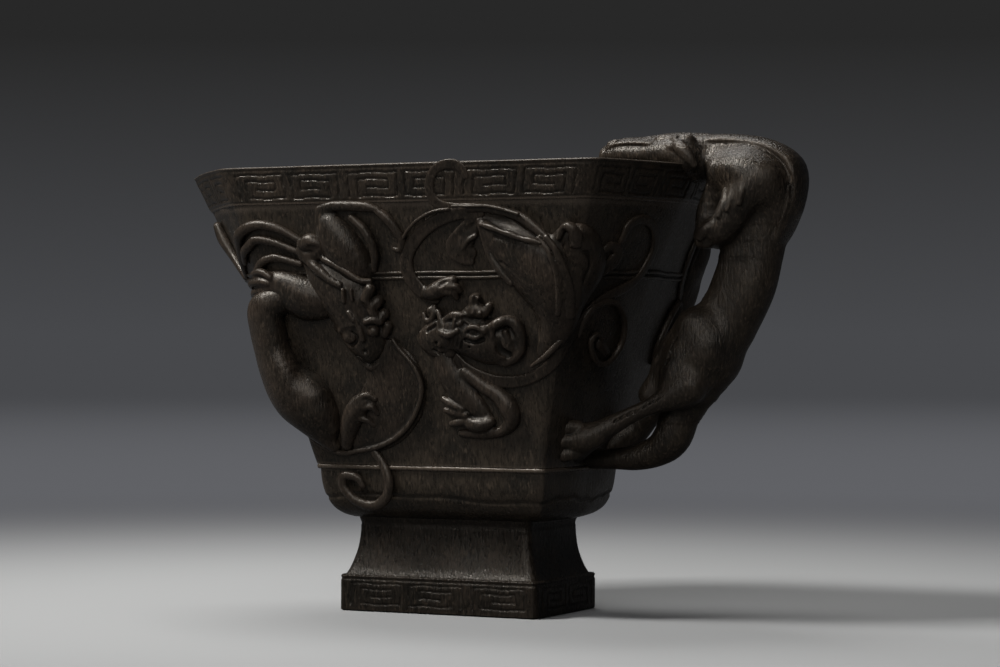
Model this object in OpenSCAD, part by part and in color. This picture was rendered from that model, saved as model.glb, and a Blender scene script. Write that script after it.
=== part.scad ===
// Horn libation cup with a dragon handle, carved from one piece, split into its carved masses.
// Origin: centre of the foot's underside. +X runs toward the handle, +Z up, -Y is the front face.

/* [Rim] */
// Height of the rim above the table
rim_z = 100.3; // [90:0.1:112]
// Reach of the pointed spout from the centre
spout_reach = 74; // [66:0.5:84]
// Reach of the rim at the handle's end
end_reach = 57.4; // [52:0.2:64]
// Width across the rim's corners
rim_w = 71.4; // [62:0.2:80]
// Distance from the centre to the corners by the spout
spout_corner = 43.8; // [38:0.2:50]
// Distance from the centre to the corners by the handle
end_corner = 48.6; // [42:0.2:50]

/* [Wall] */
// Wall thickness at the lip
lip_t = 2.4; // [1.6:0.1:3.4]
// Wall thickness at the floor
wall_t = 4.5; // [3:0.1:6]
// Floor thickness above the girdle
floor_t = 4; // [2:0.1:8]

/* [Lip band] */
// Height of the fret band below the rim
lip_h = 8.6; // [6:0.1:12]
// How far the fret band stands out of the wall
lip_proud = 0.5; // [0.3:0.1:1]

/* [String line] */
// Depth of the double line's lower edge below the rim
string_drop = 25.5; // [22:0.1:32]
// Height of the double line itself
string_h = 2; // [1.2:0.1:3]
// How far the double line stands out of the wall
string_proud = 0.6; // [0.3:0.1:1]

/* [Foot] */
// Length of the plinth
foot_w = 50; // [45:0.2:56]
// Depth of the plinth, front to back
foot_d = 31.4; // [28:0.2:36]
// Height of the plinth
plinth_h = 8.3; // [6:0.1:11]
// Length of the stem at its top
stem_w = 43.8; // [38:0.2:46]
// Depth of the stem at its top
stem_d = 25.4; // [21:0.2:27.6]
// Height of the stem
stem_h = 13; // [10:0.1:16]

/* [Girdle] */
// Length of the girdle at its top
girdle_w = 57; // [52:0.2:60]
// Depth of the girdle at its top
girdle_d = 41; // [36:0.2:44]
// Height of the bulging girdle
girdle_h = 11.1; // [8:0.1:14]
// Height of the thin edge on the girdle
fillet_h = 1.2; // [0.8:0.1:2]
// How far the thin edge stands out of the girdle
fillet_proud = 0.7; // [0.4:0.1:1.2]

/* [Relief] */
// Thickness of the carved relief, which its beads follow
relief_t = 5; // [4:0.1:6]

/* [Handle] */
// How far the handle stands off the rim's end
handle_stand = 25.7; // [23:0.2:29]
// Thickness of the handle dragon, which its limbs follow
handle_t = 10; // [9:0.1:11]

/* [Hidden] */
plinth_z = plinth_h;
stem_z = plinth_z + stem_h;
girdle_z = stem_z + girdle_h;
body_z = girdle_z + fillet_h;
string_z = rim_z - string_drop;
lip_z = rim_z - lip_h;
body_h = rim_z - body_z;

// Corners of the base plan as shares of half the girdle, from the spout round the front
base_corner_shares = [[-1.08, 0], [-0.99, -1], [1.02, -1], [1.08, 0], [1.02, 1], [-0.99, 1]];
// Corners of the rim plan, in the same order
rim_corners = [
    [-spout_reach, 0], [-spout_corner, -rim_w / 2], [end_corner, -rim_w / 2],
    [end_reach, 0], [end_corner, rim_w / 2], [-spout_corner, rim_w / 2]];
// How each corner flares with height: 1 is straight, more is hollow, less is full
flare_powers = [0.9, 1, 1.4, 1.2, 0.9, 1];
// Part of each side that a rounded corner takes
round_share = 0.05;
// How far a side bows out, as a share of its distance from the centre
bow_share = 0.02;
// Places on a side where a ring has its points: the corner's curve, then the flat
ring_shares = [-0.05, -0.017, 0.017, 0.05, 0.35, 0.65];
// Heights of the wall's rings as shares of its height
wall_ring_shares = [0, 0.1, 0.22, 0.36, 0.5];
upper_ring_shares = [0.74];
// Heights of the cavity's rings as shares of its depth, from the rim down
cavity_ring_shares = [0, 0.2, 0.45, 0.7, 0.88, 1];
bead_sides = 8;
step_share = 0.01;
// Number of sides of the plan
sides = 6;
// True while the far side's carving is drawn
$far = false;
// Share of the handle's end of the wall that the far side's carving reaches onto
far_end_share = 0.45;

// Wall surface

function mix(a, b, t) = a + (b - a) * t;

// Place of corner i at height share v
function corner(i, v) =
    let (k = (i + sides) % sides,
         base = [base_corner_shares[k].x * girdle_w / 2, base_corner_shares[k].y * girdle_d / 2],
         share = sign(v) * pow(abs(v), flare_powers[k]))
    mix(base, rim_corners[k], share);

// Point on the straight sides of the plan at u corners from the spout
function side_point(u, v) =
    let (k = floor(u), t = u - k)
    mix(corner(k, v), corner(k + 1, v), t) * (1 + bow_share * 4 * t * (1 - t));

// Point on the plan with its corners rounded
function plan_point(u, v) =
    let (k = round(u), d = u - k, t = (d + round_share) / (2 * round_share))
    abs(d) >= round_share ? side_point(u, v) :
    mix(mix(side_point(k - round_share, v), corner(k, v), t),
        mix(corner(k, v), side_point(k + round_share, v), t), t);

function wall_point(u, v) =
    let (p = plan_point(u, v)) [p.x, p.y, body_z + v * body_h];

function unit(a) = a / norm(a);

function wall_normal(u, v) = unit(cross(
    wall_point(u + step_share, v) - wall_point(u - step_share, v),
    wall_point(u, v + step_share) - wall_point(u, v - step_share)));

// Rings and lofts

// One ring of the wall at height z, moved out by proud
function wall_ring(z, proud = 0) =
    let (v = (z - body_z) / body_h)
    [for (k = [0 : sides - 1]) for (s = ring_shares)
        let (p = plan_point(k + s, v), out = unit(plan_direction(k + s, v)))
        [p.x + out.x * proud, p.y + out.y * proud, z]];

// Direction square to the plan's outline
function plan_direction(u, v) =
    let (a = plan_point(u - step_share, v), b = plan_point(u + step_share, v))
    [b.y - a.y, a.x - b.x];

// Ring with the base plan's corners at a length and a depth of its own
function base_ring(w, d, z) =
    [for (p = wall_ring(body_z)) [p.x * w / girdle_w, p.y * d / girdle_d, z]];

// Ring of a rectangle with rounded corners
function block_ring(w, d, r, z) =
    [for (q = [[-1, -1, 180], [1, -1, 270], [1, 1, 0], [-1, 1, 90]]) for (a = [0, 30, 60, 90])
        [q.x * (w / 2 - r) + r * cos(q[2] + a), q.y * (d / 2 - r) + r * sin(q[2] + a), z]];

// Solid through a stack of rings. A closed one joins its last ring to its first.
module loft(rings, closed = false) {
    n = len(rings[0]);
    m = len(rings);
    last = closed ? m - 1 : m - 2;
    walls = [for (i = [0 : last]) for (j = [0 : n - 1])
        let (a = i * n + j, b = i * n + (j + 1) % n,
             c = ((i + 1) % m) * n + (j + 1) % n, d = ((i + 1) % m) * n + j)
        each [[a, d, c], [a, c, b]]];
    caps = closed ? [] : [[for (j = [0 : n - 1]) j], [for (j = [n - 1 : -1 : 0]) (m - 1) * n + j]];
    polyhedron(points = [for (ring = rings) each ring], faces = concat(walls, caps));
}

// Levels where the bowl's wall has its rings, with the double line's two edges among them
wall_levels = concat(
    [for (s = wall_ring_shares) body_z + s * body_h],
    [string_z, string_z + string_h],
    [for (s = upper_ring_shares) body_z + s * body_h],
    [lip_z]);

// Vessel shapes

module plinth_shape() {
    edge = plinth_h / 12;
    loft([
        block_ring(foot_w - 2 * edge, foot_d - 2 * edge, 2 * edge, 0),
        block_ring(foot_w, foot_d, 2 * edge, edge),
        block_ring(foot_w, foot_d, 2 * edge, plinth_z - edge),
        block_ring(foot_w - edge, foot_d - edge, 2 * edge, plinth_z)]);
}

module stem_shape() {
    lean_w = foot_w - plinth_h / 6 - stem_w;
    lean_d = foot_d - plinth_h / 6 - stem_d;
    corner_r = stem_h / 7;
    // Share of the stem's height, then the share of its lean that is left there
    flare_shares = [[0, 1], [0.12, 0.7], [0.28, 0.42], [0.45, 0.2], [0.65, 0.06], [0.84, 0], [1, 0.1]];
    loft([for (s = flare_shares) block_ring(
        stem_w + lean_w * s[1], stem_d + lean_d * s[1], corner_r, plinth_z + s[0] * stem_h)]);
}

module girdle_shape() {
    // Share of the girdle's height, then the share of the way from the stem to the full girdle
    bulge_shares = [[0, 0], [0.07, 0.32], [0.2, 0.6], [0.4, 0.8], [0.62, 0.92], [0.84, 0.98], [1, 1]];
    full_w = girdle_w - 2 * fillet_proud;
    full_d = girdle_d - 2 * fillet_proud;
    low_w = stem_w + (full_w - stem_w) / 6;
    loft([for (s = bulge_shares) base_ring(
        mix(low_w, full_w, s[1]), mix(stem_d, full_d, s[1]), stem_z + s[0] * girdle_h)]);
}

module fillet_shape() {
    edge = fillet_h / 4;
    loft([
        base_ring(girdle_w - edge, girdle_d - edge, girdle_z),
        base_ring(girdle_w + edge, girdle_d + edge, girdle_z + edge),
        base_ring(girdle_w + edge, girdle_d + edge, body_z - edge),
        base_ring(girdle_w, girdle_d, body_z)]);
}

function outer_rings() = [for (z = wall_levels) wall_ring(z)];

// Rings of the cavity from height top down to its floor
function cavity_rings(top) =
    let (low = body_z + floor_t)
    [for (s = cavity_ring_shares)
        let (z = top - s * (top - low), t = mix(lip_t, wall_t, s), turn = s < 1 ? 0 : wall_t / 2)
        wall_ring(z, -t - turn)];

module bowl_shape() {
    loft(concat(outer_rings(), cavity_rings(lip_z)));
}

module string_shape() {
    loft([
        wall_ring(string_z), wall_ring(string_z, string_proud),
        wall_ring(string_z + string_h, string_proud), wall_ring(string_z + string_h)], closed = true);
}

module lip_shape() {
    edge = lip_proud / 2;
    loft([
        wall_ring(lip_z, lip_proud), wall_ring(rim_z - edge, lip_proud), wall_ring(rim_z, 0),
        wall_ring(rim_z, -lip_t), wall_ring(lip_z, -lip_t)], closed = true);
}

// The vessel as one filled body, which the carving on it is cut back to
module vessel_core() {
    girdle_shape();
    fillet_shape();
    loft(outer_rings());
    loft([
        wall_ring(string_z), wall_ring(string_z, string_proud),
        wall_ring(string_z + string_h, string_proud), wall_ring(string_z + string_h)]);
    loft([wall_ring(lip_z, lip_proud), wall_ring(rim_z - lip_proud / 2, lip_proud), wall_ring(rim_z, 0)]);
}

// Relief strands: each bead is [corners from the spout, height share, radius share, lift share]

// Place of a bead round the plan. The handle's end starts a third of the way round, and the far
// side's carving stops short on it.
function bead_u(u) =
    !$far ? u : sides - (u > sides / 3 ? mix(sides / 3, u, far_end_share) : u);

module wall_bead(b) {
    u = bead_u(b[0]);
    translate(wall_point(u, b[1]) + b[3] * relief_t * wall_normal(u, b[1]))
        sphere(r = b[2] * relief_t, $fn = bead_sides);
}

module wall_strand(beads) {
    for (i = [0 : len(beads) - 2]) hull() {
        wall_bead(beads[i]);
        wall_bead(beads[i + 1]);
    }
}

// One strap of even radius along a path of [corners from the spout, height share]
module wall_strap(path, radius_share, lift_share = 0.1) {
    wall_strand([for (p = path) [p[0], p[1], radius_share, lift_share]]);
}

// Handle limbs: each bead is [reach share, side share, height share, radius share].
// A reach share of 1 is the rim's end and 2 is the handle's outermost point.

function handle_point(b) = [
    b[0] < 1 ? b[0] * end_reach : end_reach + (b[0] - 1) * handle_stand,
    b[1] * handle_t, body_z + b[2] * body_h];

module limb_bead(b) {
    translate(handle_point(b)) sphere(r = b[3] * handle_t, $fn = bead_sides);
}

module limb(beads) {
    for (i = [0 : len(beads) - 2]) hull() {
        limb_bead(beads[i]);
        limb_bead(beads[i + 1]);
    }
}

// Handle dragon shapes

head_shares = [
    [0.62, 0, 1.045, 0.2], [0.68, 0, 1.055, 0.28], [0.76, 0, 1.05, 0.34], [0.84, 0, 1.045, 0.4],
    [0.93, 0, 1.04, 0.46], [1.02, 0, 1.03, 0.46]];
jaw_shares = [
    [0.66, 0.15, 1.03, 0.2], [0.78, 0.3, 1.03, 0.28], [0.88, 0.45, 1.03, 0.32], [0.97, 0.45, 1.02, 0.34]];
brow_shares = [
    [0.84, 0.3, 1.075, 0.1], [0.89, 0.4, 1.085, 0.15], [0.95, 0.42, 1.08, 0.15], [1, 0.6, 1.055, 0.16]];
ear_shares = [[0.96, 0.72, 1.06, 0.14], [1, 0.85, 1.035, 0.16], [1.06, 0.85, 1.01, 0.12]];
neck_shares = [
    [0.99, 0, 1.0, 0.4], [1.12, 0, 1.02, 0.44], [1.35, 0, 1.015, 0.5], [1.58, 0, 0.99, 0.54],
    [1.74, 0, 0.93, 0.5], [1.76, 0, 0.86, 0.44]];
shoulder_shares = [[1.3, 0.42, 0.97, 0.4], [1.5, 0.5, 0.96, 0.5], [1.66, 0.35, 0.92, 0.46]];
mane_shares = [
    [0.98, 0, 1.065, 0.14], [1.15, 0, 1.075, 0.14], [1.36, 0, 1.072, 0.14], [1.62, 0, 1.052, 0.14],
    [1.82, 0, 1.015, 0.15], [1.91, 0, 0.96, 0.16], [1.89, 0, 0.88, 0.16], [1.78, 0, 0.78, 0.15],
    [1.67, 0, 0.7, 0.1]];
torso_shares = [
    [1.68, 0, 0.87, 0.5], [1.62, 0, 0.8, 0.48], [1.56, 0, 0.7, 0.48], [1.48, 0, 0.6, 0.52],
    [1.36, 0, 0.51, 0.54], [1.22, 0, 0.42, 0.54], [1.08, 0, 0.34, 0.48]];
belly_shares = [
    [1.52, 0, 0.85, 0.42], [1.42, 0, 0.75, 0.42], [1.35, 0, 0.67, 0.42], [1.28, 0, 0.6, 0.42],
    [1.2, 0, 0.52, 0.44]];
foreleg_shares = [
    [1.55, 0.5, 0.95, 0.42], [1.42, 0.62, 0.92, 0.36], [1.32, 0.66, 0.86, 0.3], [1.28, 0.66, 0.8, 0.28],
    [1.22, 0.64, 0.765, 0.26], [1.13, 0.6, 0.765, 0.2]];
toe_shares = [[1.3, 0.5, 0.78, 0.2], [1.2, 0.42, 0.755, 0.18], [1.1, 0.4, 0.75, 0.14]];
haunch_shares = [
    [1.1, 0.34, 0.46, 0.42], [1.13, 0.36, 0.4, 0.5], [1.05, 0.38, 0.34, 0.47], [0.95, 0.42, 0.285, 0.4]];
thigh_shares = [
    [1, 0.45, 0.45, 0.4], [0.92, 0.5, 0.37, 0.42], [0.9, 0.55, 0.29, 0.4], [0.93, 0.58, 0.25, 0.34]];
hind_leg_shares = [
    [1.0, 0.66, 0.26, 0.38], [0.92, 0.8, 0.21, 0.25], [0.82, 0.9, 0.172, 0.26], [0.7, 1, 0.126, 0.28],
    [0.61, 1.1, 0.092, 0.3], [0.53, 1.14, 0.08, 0.24]];
far_hind_leg_shares = [
    [0.94, 0.62, 0.255, 0.34], [0.88, 0.8, 0.24, 0.28], [0.82, 0.9, 0.235, 0.27], [0.755, 1, 0.21, 0.27],
    [0.7, 1.05, 0.16, 0.27], [0.64, 1.1, 0.105, 0.28], [0.57, 1.12, 0.08, 0.28], [0.5, 1.12, 0.08, 0.24]];
claw_shares = [[0.6, 1, 0.1, 0.2], [0.56, 0.82, 0.05, 0.15], [0.5, 0.8, 0.03, 0.12]];
tail_shares = [
    [1.16, 0, 0.35, 0.48], [1.0, 0, 0.262, 0.4], [0.93, 0, 0.185, 0.4], [0.885, 0, 0.1, 0.41],
    [0.83, 0, 0.056, 0.34], [0.74, 0, 0.03, 0.28], [0.64, 0, 0.022, 0.22], [0.5, 0, 0.02, 0.2]];

// Both sides of a limb that the dragon has twice
module both_sides() {
    children();
    mirror([0, 1, 0]) children();
}

module head_shape() {
    limb(head_shares);
    both_sides() limb(jaw_shares);
}

module brow_shape() {
    both_sides() {
        limb(brow_shares);
        limb(ear_shares);
    }
}

module neck_shape() {
    limb(neck_shares);
    both_sides() limb(shoulder_shares);
}

// The mane is a flat strap, so each of its beads is drawn out sideways
module mane_shape() {
    spread = 0.32;
    for (i = [0 : len(mane_shares) - 2]) hull() for (side = [-spread, spread]) for (k = [i, i + 1]) {
        b = mane_shares[k];
        limb_bead([b[0], side, b[2], b[3]]);
    }
}

// Limbs on the near side have a negative Y
module near_limb(paths) {
    mirror([0, 1, 0]) for (path = paths) limb(path);
}

module torso_shape() {
    limb(torso_shares);
    limb(belly_shares);
}

module haunch_shape() {
    both_sides() {
        limb(haunch_shares);
        limb(thigh_shares);
    }
}

module tail_shape() { limb(tail_shares); }
module near_foreleg_shape() { near_limb([foreleg_shares, toe_shares]); }
module near_hind_leg_shape() { near_limb([hind_leg_shares, claw_shares]); }
module far_hind_leg_shape() { near_limb([far_hind_leg_shares, claw_shares]); }

// Handle shapes in order: each is cut back to those before it
module handle_mass(i) {
    if (i == 0) neck_shape();
    if (i == 1) head_shape();
    if (i == 2) brow_shape();
    if (i == 3) torso_shape();
    if (i == 4) mane_shape();
    if (i == 5) near_foreleg_shape();
    if (i == 6) haunch_shape();
    if (i == 7) tail_shape();
    if (i == 8) near_hind_leg_shape();
    if (i == 9) far_hind_leg_shape();
}

module handle_piece(i, neighbours) {
    difference() {
        mirror([0, $far ? 1 : 0, 0]) handle_mass(i);
        vessel_core();
        for (j = neighbours) handle_mass(j);
    }
}

// Relief shapes of the dragon at the spout's corner

module spout_dragon_mass(i) {
    if (i == 0) {
        wall_strand([
            [1.27, 0.63, 0.8, -0.1], [1.3, 0.56, 1.15, -0.35], [1.32, 0.49, 1.1, -0.3],
            [1.345, 0.42, 0.8, -0.1], [1.36, 0.37, 0.5, 0]]);
        wall_strand([[1.2, 0.69, 0.3, 0.5], [1.27, 0.66, 0.36, 0.6], [1.35, 0.6, 0.3, 0.6]]);
        wall_strand([[1.2, 0.75, 0.36, 0.5], [1.24, 0.745, 0.44, 0.4], [1.27, 0.72, 0.3, 0.3]]);
    }
    if (i == 1) {
        wall_strand([
            [1.2, 0.76, 0.24, 0.2], [1.14, 0.795, 0.26, 0.3], [1.06, 0.81, 0.28, 0.4],
            [0.97, 0.785, 0.28, 0.4], [0.86, 0.74, 0.28, 0.3], [0.62, 0.64, 0.22, 0.1]]);
        wall_strand([[1.17, 0.72, 0.26, 0.4], [1.1, 0.755, 0.28, 0.5], [1.02, 0.76, 0.28, 0.5],
            [0.95, 0.7, 0.26, 0.4]]);
        wall_strand([[1.14, 0.68, 0.26, 0.4], [1.09, 0.7, 0.28, 0.5], [1.03, 0.68, 0.26, 0.4]]);
        wall_strand([[0.38, 0.82, 0.26, 0.3], [0.4, 0.775, 0.36, 0.4], [0.46, 0.71, 0.26, 0.2],
            [0.56, 0.64, 0.2, 0.1]]);
    }
    if (i == 2) wall_strand([
        [1.24, 0.55, 0.45, 0.1], [1.19, 0.57, 0.66, 0.1], [1.13, 0.6, 0.7, 0.2], [1.07, 0.62, 0.55, 0.2],
        [1.01, 0.63, 0.4, 0.2], [0.96, 0.63, 0.3, 0.2]]);
    if (i == 3) wall_strand([
        [1.09, 0.57, 0.5, 0.2], [0.99, 0.5, 0.72, 0.3], [0.93, 0.4, 0.84, 0.45], [0.94, 0.3, 0.88, 0.5],
        [1, 0.2, 0.78, 0.4], [1.06, 0.12, 0.58, 0.2], [1.12, 0.06, 0.38, 0.1]]);
    if (i == 4) wall_strand([
        [1.13, 0.09, 0.34, 0.1], [1.17, 0.13, 0.44, 0.15], [1.21, 0.18, 0.48, 0.15],
        [1.255, 0.22, 0.4, 0.15], [1.29, 0.2, 0.3, 0.15], [1.31, 0.16, 0.22, 0.1]]);
    if (i == 5) wall_strap([
        [0.94, 0.15], [1.02, 0.07], [1.12, 0.05], [1.26, 0.065], [1.38, 0.11], [1.46, 0.18],
        [1.505, 0.26], [1.5, 0.33], [1.45, 0.39], [1.41, 0.43]], 0.26);
    if (i == 6) {
        wall_strand([
            [1.25, 0.855, 0.24, 0.1], [1.36, 0.86, 0.3, 0.2], [1.45, 0.85, 0.28, 0.2],
            [1.485, 0.8, 0.28, 0.1], [1.5, 0.73, 0.2, 0.1]]);
        wall_strand([[1.31, 0.82, 0.4, -0.05], [1.32, 0.75, 0.56, -0.1], [1.33, 0.67, 0.5, -0.05]]);
    }
    if (i == 7) wall_strand([
        [1.29, 0.045, 0.24, 0.1], [1.315, 0, 0.26, 0.2], [1.335, -0.055, 0.26, 0.35],
        [1.31, -0.11, 0.24, 0.4], [1.24, -0.14, 0.24, 0.35], [1.14, -0.125, 0.24, 0.35],
        [1.08, -0.075, 0.24, 0.35], [1.1, -0.035, 0.22, 0.3], [1.17, -0.04, 0.24, 0.25]]);
}

module spout_dragon_piece(i, neighbours) {
    difference() {
        spout_dragon_mass(i);
        vessel_core();
        for (j = neighbours) spout_dragon_mass(j);
    }
}

// Relief shapes of the dragon on the long face

module centre_dragon_mass(i) {
    if (i == 0) {
        wall_strand([
            [1.55, 0.45, 0.36, 0.1], [1.6, 0.465, 0.56, 0.1], [1.66, 0.475, 0.72, 0.1],
            [1.73, 0.46, 0.8, 0.1], [1.8, 0.44, 0.78, 0], [1.86, 0.42, 0.6, 0]]);
        wall_strand([[1.66, 0.5, 0.36, 0.3], [1.71, 0.53, 0.36, 0.3], [1.75, 0.565, 0.24, 0.3]]);
        wall_strand([[1.7, 0.45, 0.3, 0.7], [1.76, 0.46, 0.3, 0.7]]);
    }
    if (i == 1) {
        wall_strand([
            [1.6, 0.42, 0.4, 0.05], [1.635, 0.34, 0.56, 0], [1.68, 0.27, 0.56, 0.05],
            [1.74, 0.2, 0.5, 0.1], [1.8, 0.17, 0.4, 0.1], [1.87, 0.16, 0.3, 0.1]]);
        wall_strand([[1.76, 0.24, 0.3, 0.1], [1.83, 0.22, 0.34, 0.1], [1.88, 0.16, 0.3, 0.1]]);
        wall_strand([[1.6, 0.22, 0.22, 0.15], [1.645, 0.2, 0.28, 0.15], [1.725, 0.195, 0.36, 0.1]]);
    }
    if (i == 2) {
        wall_strand([
            [1.75, 0.805, 0.3, 0], [1.82, 0.77, 0.72, -0.3], [1.91, 0.7, 1.05, -0.6],
            [1.98, 0.62, 1.1, -0.65], [2, 0.53, 0.9, -0.5], [1.97, 0.45, 0.6, -0.2],
            [1.93, 0.39, 0.36, 0]]);
        wall_strand([[1.99, 0.76, 0.6, -0.2], [2.06, 0.72, 0.7, -0.3], [2.1, 0.65, 0.66, -0.25],
            [2.06, 0.57, 0.5, -0.15]]);
    }
    if (i == 3) wall_strap([
        [1.665, 0.945], [1.645, 0.968], [1.61, 0.972], [1.58, 0.955], [1.567, 0.915], [1.585, 0.87],
        [1.62, 0.85], [1.7, 0.85], [1.79, 0.84], [1.86, 0.805], [1.92, 0.75], [1.98, 0.67],
        [2.025, 0.59], [2.05, 0.5]], 0.2, 0.2);
    if (i == 4) {
        wall_strap([
            [1.71, 0.83], [1.62, 0.82], [1.55, 0.77], [1.51, 0.7], [1.52, 0.64], [1.55, 0.6]], 0.26);
        wall_strand([[1.55, 0.6, 0.32, 0.15], [1.6, 0.595, 0.38, 0.15], [1.645, 0.605, 0.32, 0.1]]);
        wall_strand([[1.7, 0.79, 0.2, 0.05], [1.665, 0.76, 0.28, 0.05], [1.645, 0.725, 0.28, 0.05],
            [1.68, 0.69, 0.2, 0.05]]);
    }
    if (i == 5) {
        wall_strap([
            [1.6, 0.385], [1.64, 0.345], [1.72, 0.3], [1.84, 0.285], [1.93, 0.3], [2, 0.33],
            [2.14, 0.41], [2.41, 0.515], [2.7, 0.59], [2.8, 0.68], [2.75, 0.75], [2.61, 0.795],
            [2.49, 0.79], [2.43, 0.74]], 0.26);
        wall_strap([[2.24, 0.72], [2.34, 0.69], [2.44, 0.71]], 0.3);
    }
    if (i == 6) wall_strap([
        [2.37, 0.44], [2.45, 0.49], [2.58, 0.52], [2.73, 0.49], [2.82, 0.42], [2.78, 0.35],
        [2.66, 0.325], [2.53, 0.36], [2.47, 0.42]], 0.22);
}

module centre_dragon_piece(i, neighbours) {
    difference() {
        centre_dragon_mass(i);
        vessel_core();
        for (j = neighbours) centre_dragon_mass(j);
    }
}

// The same carving on the far side's own wall
module far_side() {
    $far = true;
    children();
}

// Colours

wall_colour = "#2c2320";
relief_colour = "#3a2e28";
edge_colour = "#4a3a30";

// Sub-parts of the vessel

module foot_plinth() { color(wall_colour) plinth_shape(); }
module foot_stem() { color(relief_colour) stem_shape(); }
module girdle() { color(wall_colour) girdle_shape(); }
module girdle_fillet() { color(edge_colour) fillet_shape(); }
module bowl() { color(wall_colour) bowl_shape(); }
module string_band() { color(edge_colour) string_shape(); }
module lip_band() { color(edge_colour) lip_shape(); }

// Sub-parts of the handle dragon

module handle_neck() { color(relief_colour) handle_piece(0, []); }
module handle_head() { color(edge_colour) handle_piece(1, [0]); }
module handle_brows() { color(relief_colour) handle_piece(2, [0, 1]); }
module handle_torso() { color(relief_colour) handle_piece(3, [0]); }
module handle_mane() { color(edge_colour) handle_piece(4, [0, 1, 2, 3]); }
module handle_foreleg_near() { color(edge_colour) handle_piece(5, [0, 3]); }
module handle_foreleg_far() { color(edge_colour) far_side() handle_piece(5, [0, 3]); }
module handle_haunch() { color(relief_colour) handle_piece(6, [3]); }
module handle_tail() { color(wall_colour) handle_piece(7, [3, 6]); }
module handle_hind_leg_near() { color(edge_colour) handle_piece(8, [3, 6, 7]); }
module handle_hind_leg_far() { color(edge_colour) far_side() handle_piece(9, [3, 6, 7]); }

// Sub-parts of the relief on the front

module spout_dragon_head() { color(edge_colour) spout_dragon_piece(0, []); }
module spout_dragon_mane() { color(relief_colour) spout_dragon_piece(1, [0]); }
module spout_dragon_foreleg() { color(relief_colour) spout_dragon_piece(2, [0, 1]); }
module spout_dragon_body() { color(edge_colour) spout_dragon_piece(3, [0, 1, 2]); }
module spout_dragon_hind_leg() { color(relief_colour) spout_dragon_piece(4, [3]); }
module spout_dragon_tail() { color(relief_colour) spout_dragon_piece(5, [0, 3, 4]); }
module cloud_scroll() { color(relief_colour) spout_dragon_piece(6, [0, 1]); }
module girdle_curl() { color(relief_colour) spout_dragon_piece(7, [3, 4, 5]); }
module centre_dragon_head() { color(edge_colour) centre_dragon_piece(0, []); }
module centre_dragon_foreleg() { color(relief_colour) centre_dragon_piece(1, [0]); }
module centre_dragon_body() { color(relief_colour) centre_dragon_piece(2, [0]); }
module tail_ribbon() { color(edge_colour) centre_dragon_piece(3, [2]); }
module ring_strap() { color(relief_colour) centre_dragon_piece(4, [0, 2, 3]); }
module lower_scroll() { color(edge_colour) centre_dragon_piece(5, [0, 1, 2, 3]); }
module oval_scroll() { color(relief_colour) centre_dragon_piece(6, [5]); }

// Sub-parts of the relief on the far side, the same carving turned over

module far_spout_dragon_head() { far_side() spout_dragon_head(); }
module far_spout_dragon_mane() { far_side() spout_dragon_mane(); }
module far_spout_dragon_foreleg() { far_side() spout_dragon_foreleg(); }
module far_spout_dragon_body() { far_side() spout_dragon_body(); }
module far_spout_dragon_hind_leg() { far_side() spout_dragon_hind_leg(); }
module far_spout_dragon_tail() { far_side() spout_dragon_tail(); }
module far_cloud_scroll() { far_side() cloud_scroll(); }
module far_girdle_curl() { far_side() girdle_curl(); }
module far_centre_dragon_head() { far_side() centre_dragon_head(); }
module far_centre_dragon_foreleg() { far_side() centre_dragon_foreleg(); }
module far_centre_dragon_body() { far_side() centre_dragon_body(); }
module far_tail_ribbon() { far_side() tail_ribbon(); }
module far_ring_strap() { far_side() ring_strap(); }
module far_lower_scroll() { far_side() lower_scroll(); }
module far_oval_scroll() { far_side() oval_scroll(); }

foot_plinth();
foot_stem();
girdle();
girdle_fillet();
bowl();
string_band();
lip_band();
handle_head();
handle_brows();
handle_neck();
handle_mane();
handle_torso();
handle_foreleg_near();
handle_foreleg_far();
handle_haunch();
handle_hind_leg_near();
handle_hind_leg_far();
handle_tail();
spout_dragon_head();
spout_dragon_mane();
spout_dragon_foreleg();
spout_dragon_body();
spout_dragon_hind_leg();
spout_dragon_tail();
cloud_scroll();
girdle_curl();
centre_dragon_head();
centre_dragon_foreleg();
centre_dragon_body();
tail_ribbon();
ring_strap();
lower_scroll();
oval_scroll();
far_spout_dragon_head();
far_spout_dragon_mane();
far_spout_dragon_foreleg();
far_spout_dragon_body();
far_spout_dragon_hind_leg();
far_spout_dragon_tail();
far_cloud_scroll();
far_girdle_curl();
far_centre_dragon_head();
far_centre_dragon_foreleg();
far_centre_dragon_body();
far_tail_ribbon();
far_ring_strap();
far_lower_scroll();
far_oval_scroll();
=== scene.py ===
"""Horn libation cup with a dragon handle: the looks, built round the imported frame.

Lengths in this file are millimetres, and meshes are written in metres. The wall of the cup is one
surface, place(u, v): u counts the corners of its six-sided plan from the spout round the front,
and v is the share of the wall's height. What is carved on the wall is placed on that surface.
"""
import logging
import math
from dataclasses import dataclass, field, replace
from enum import Enum

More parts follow.
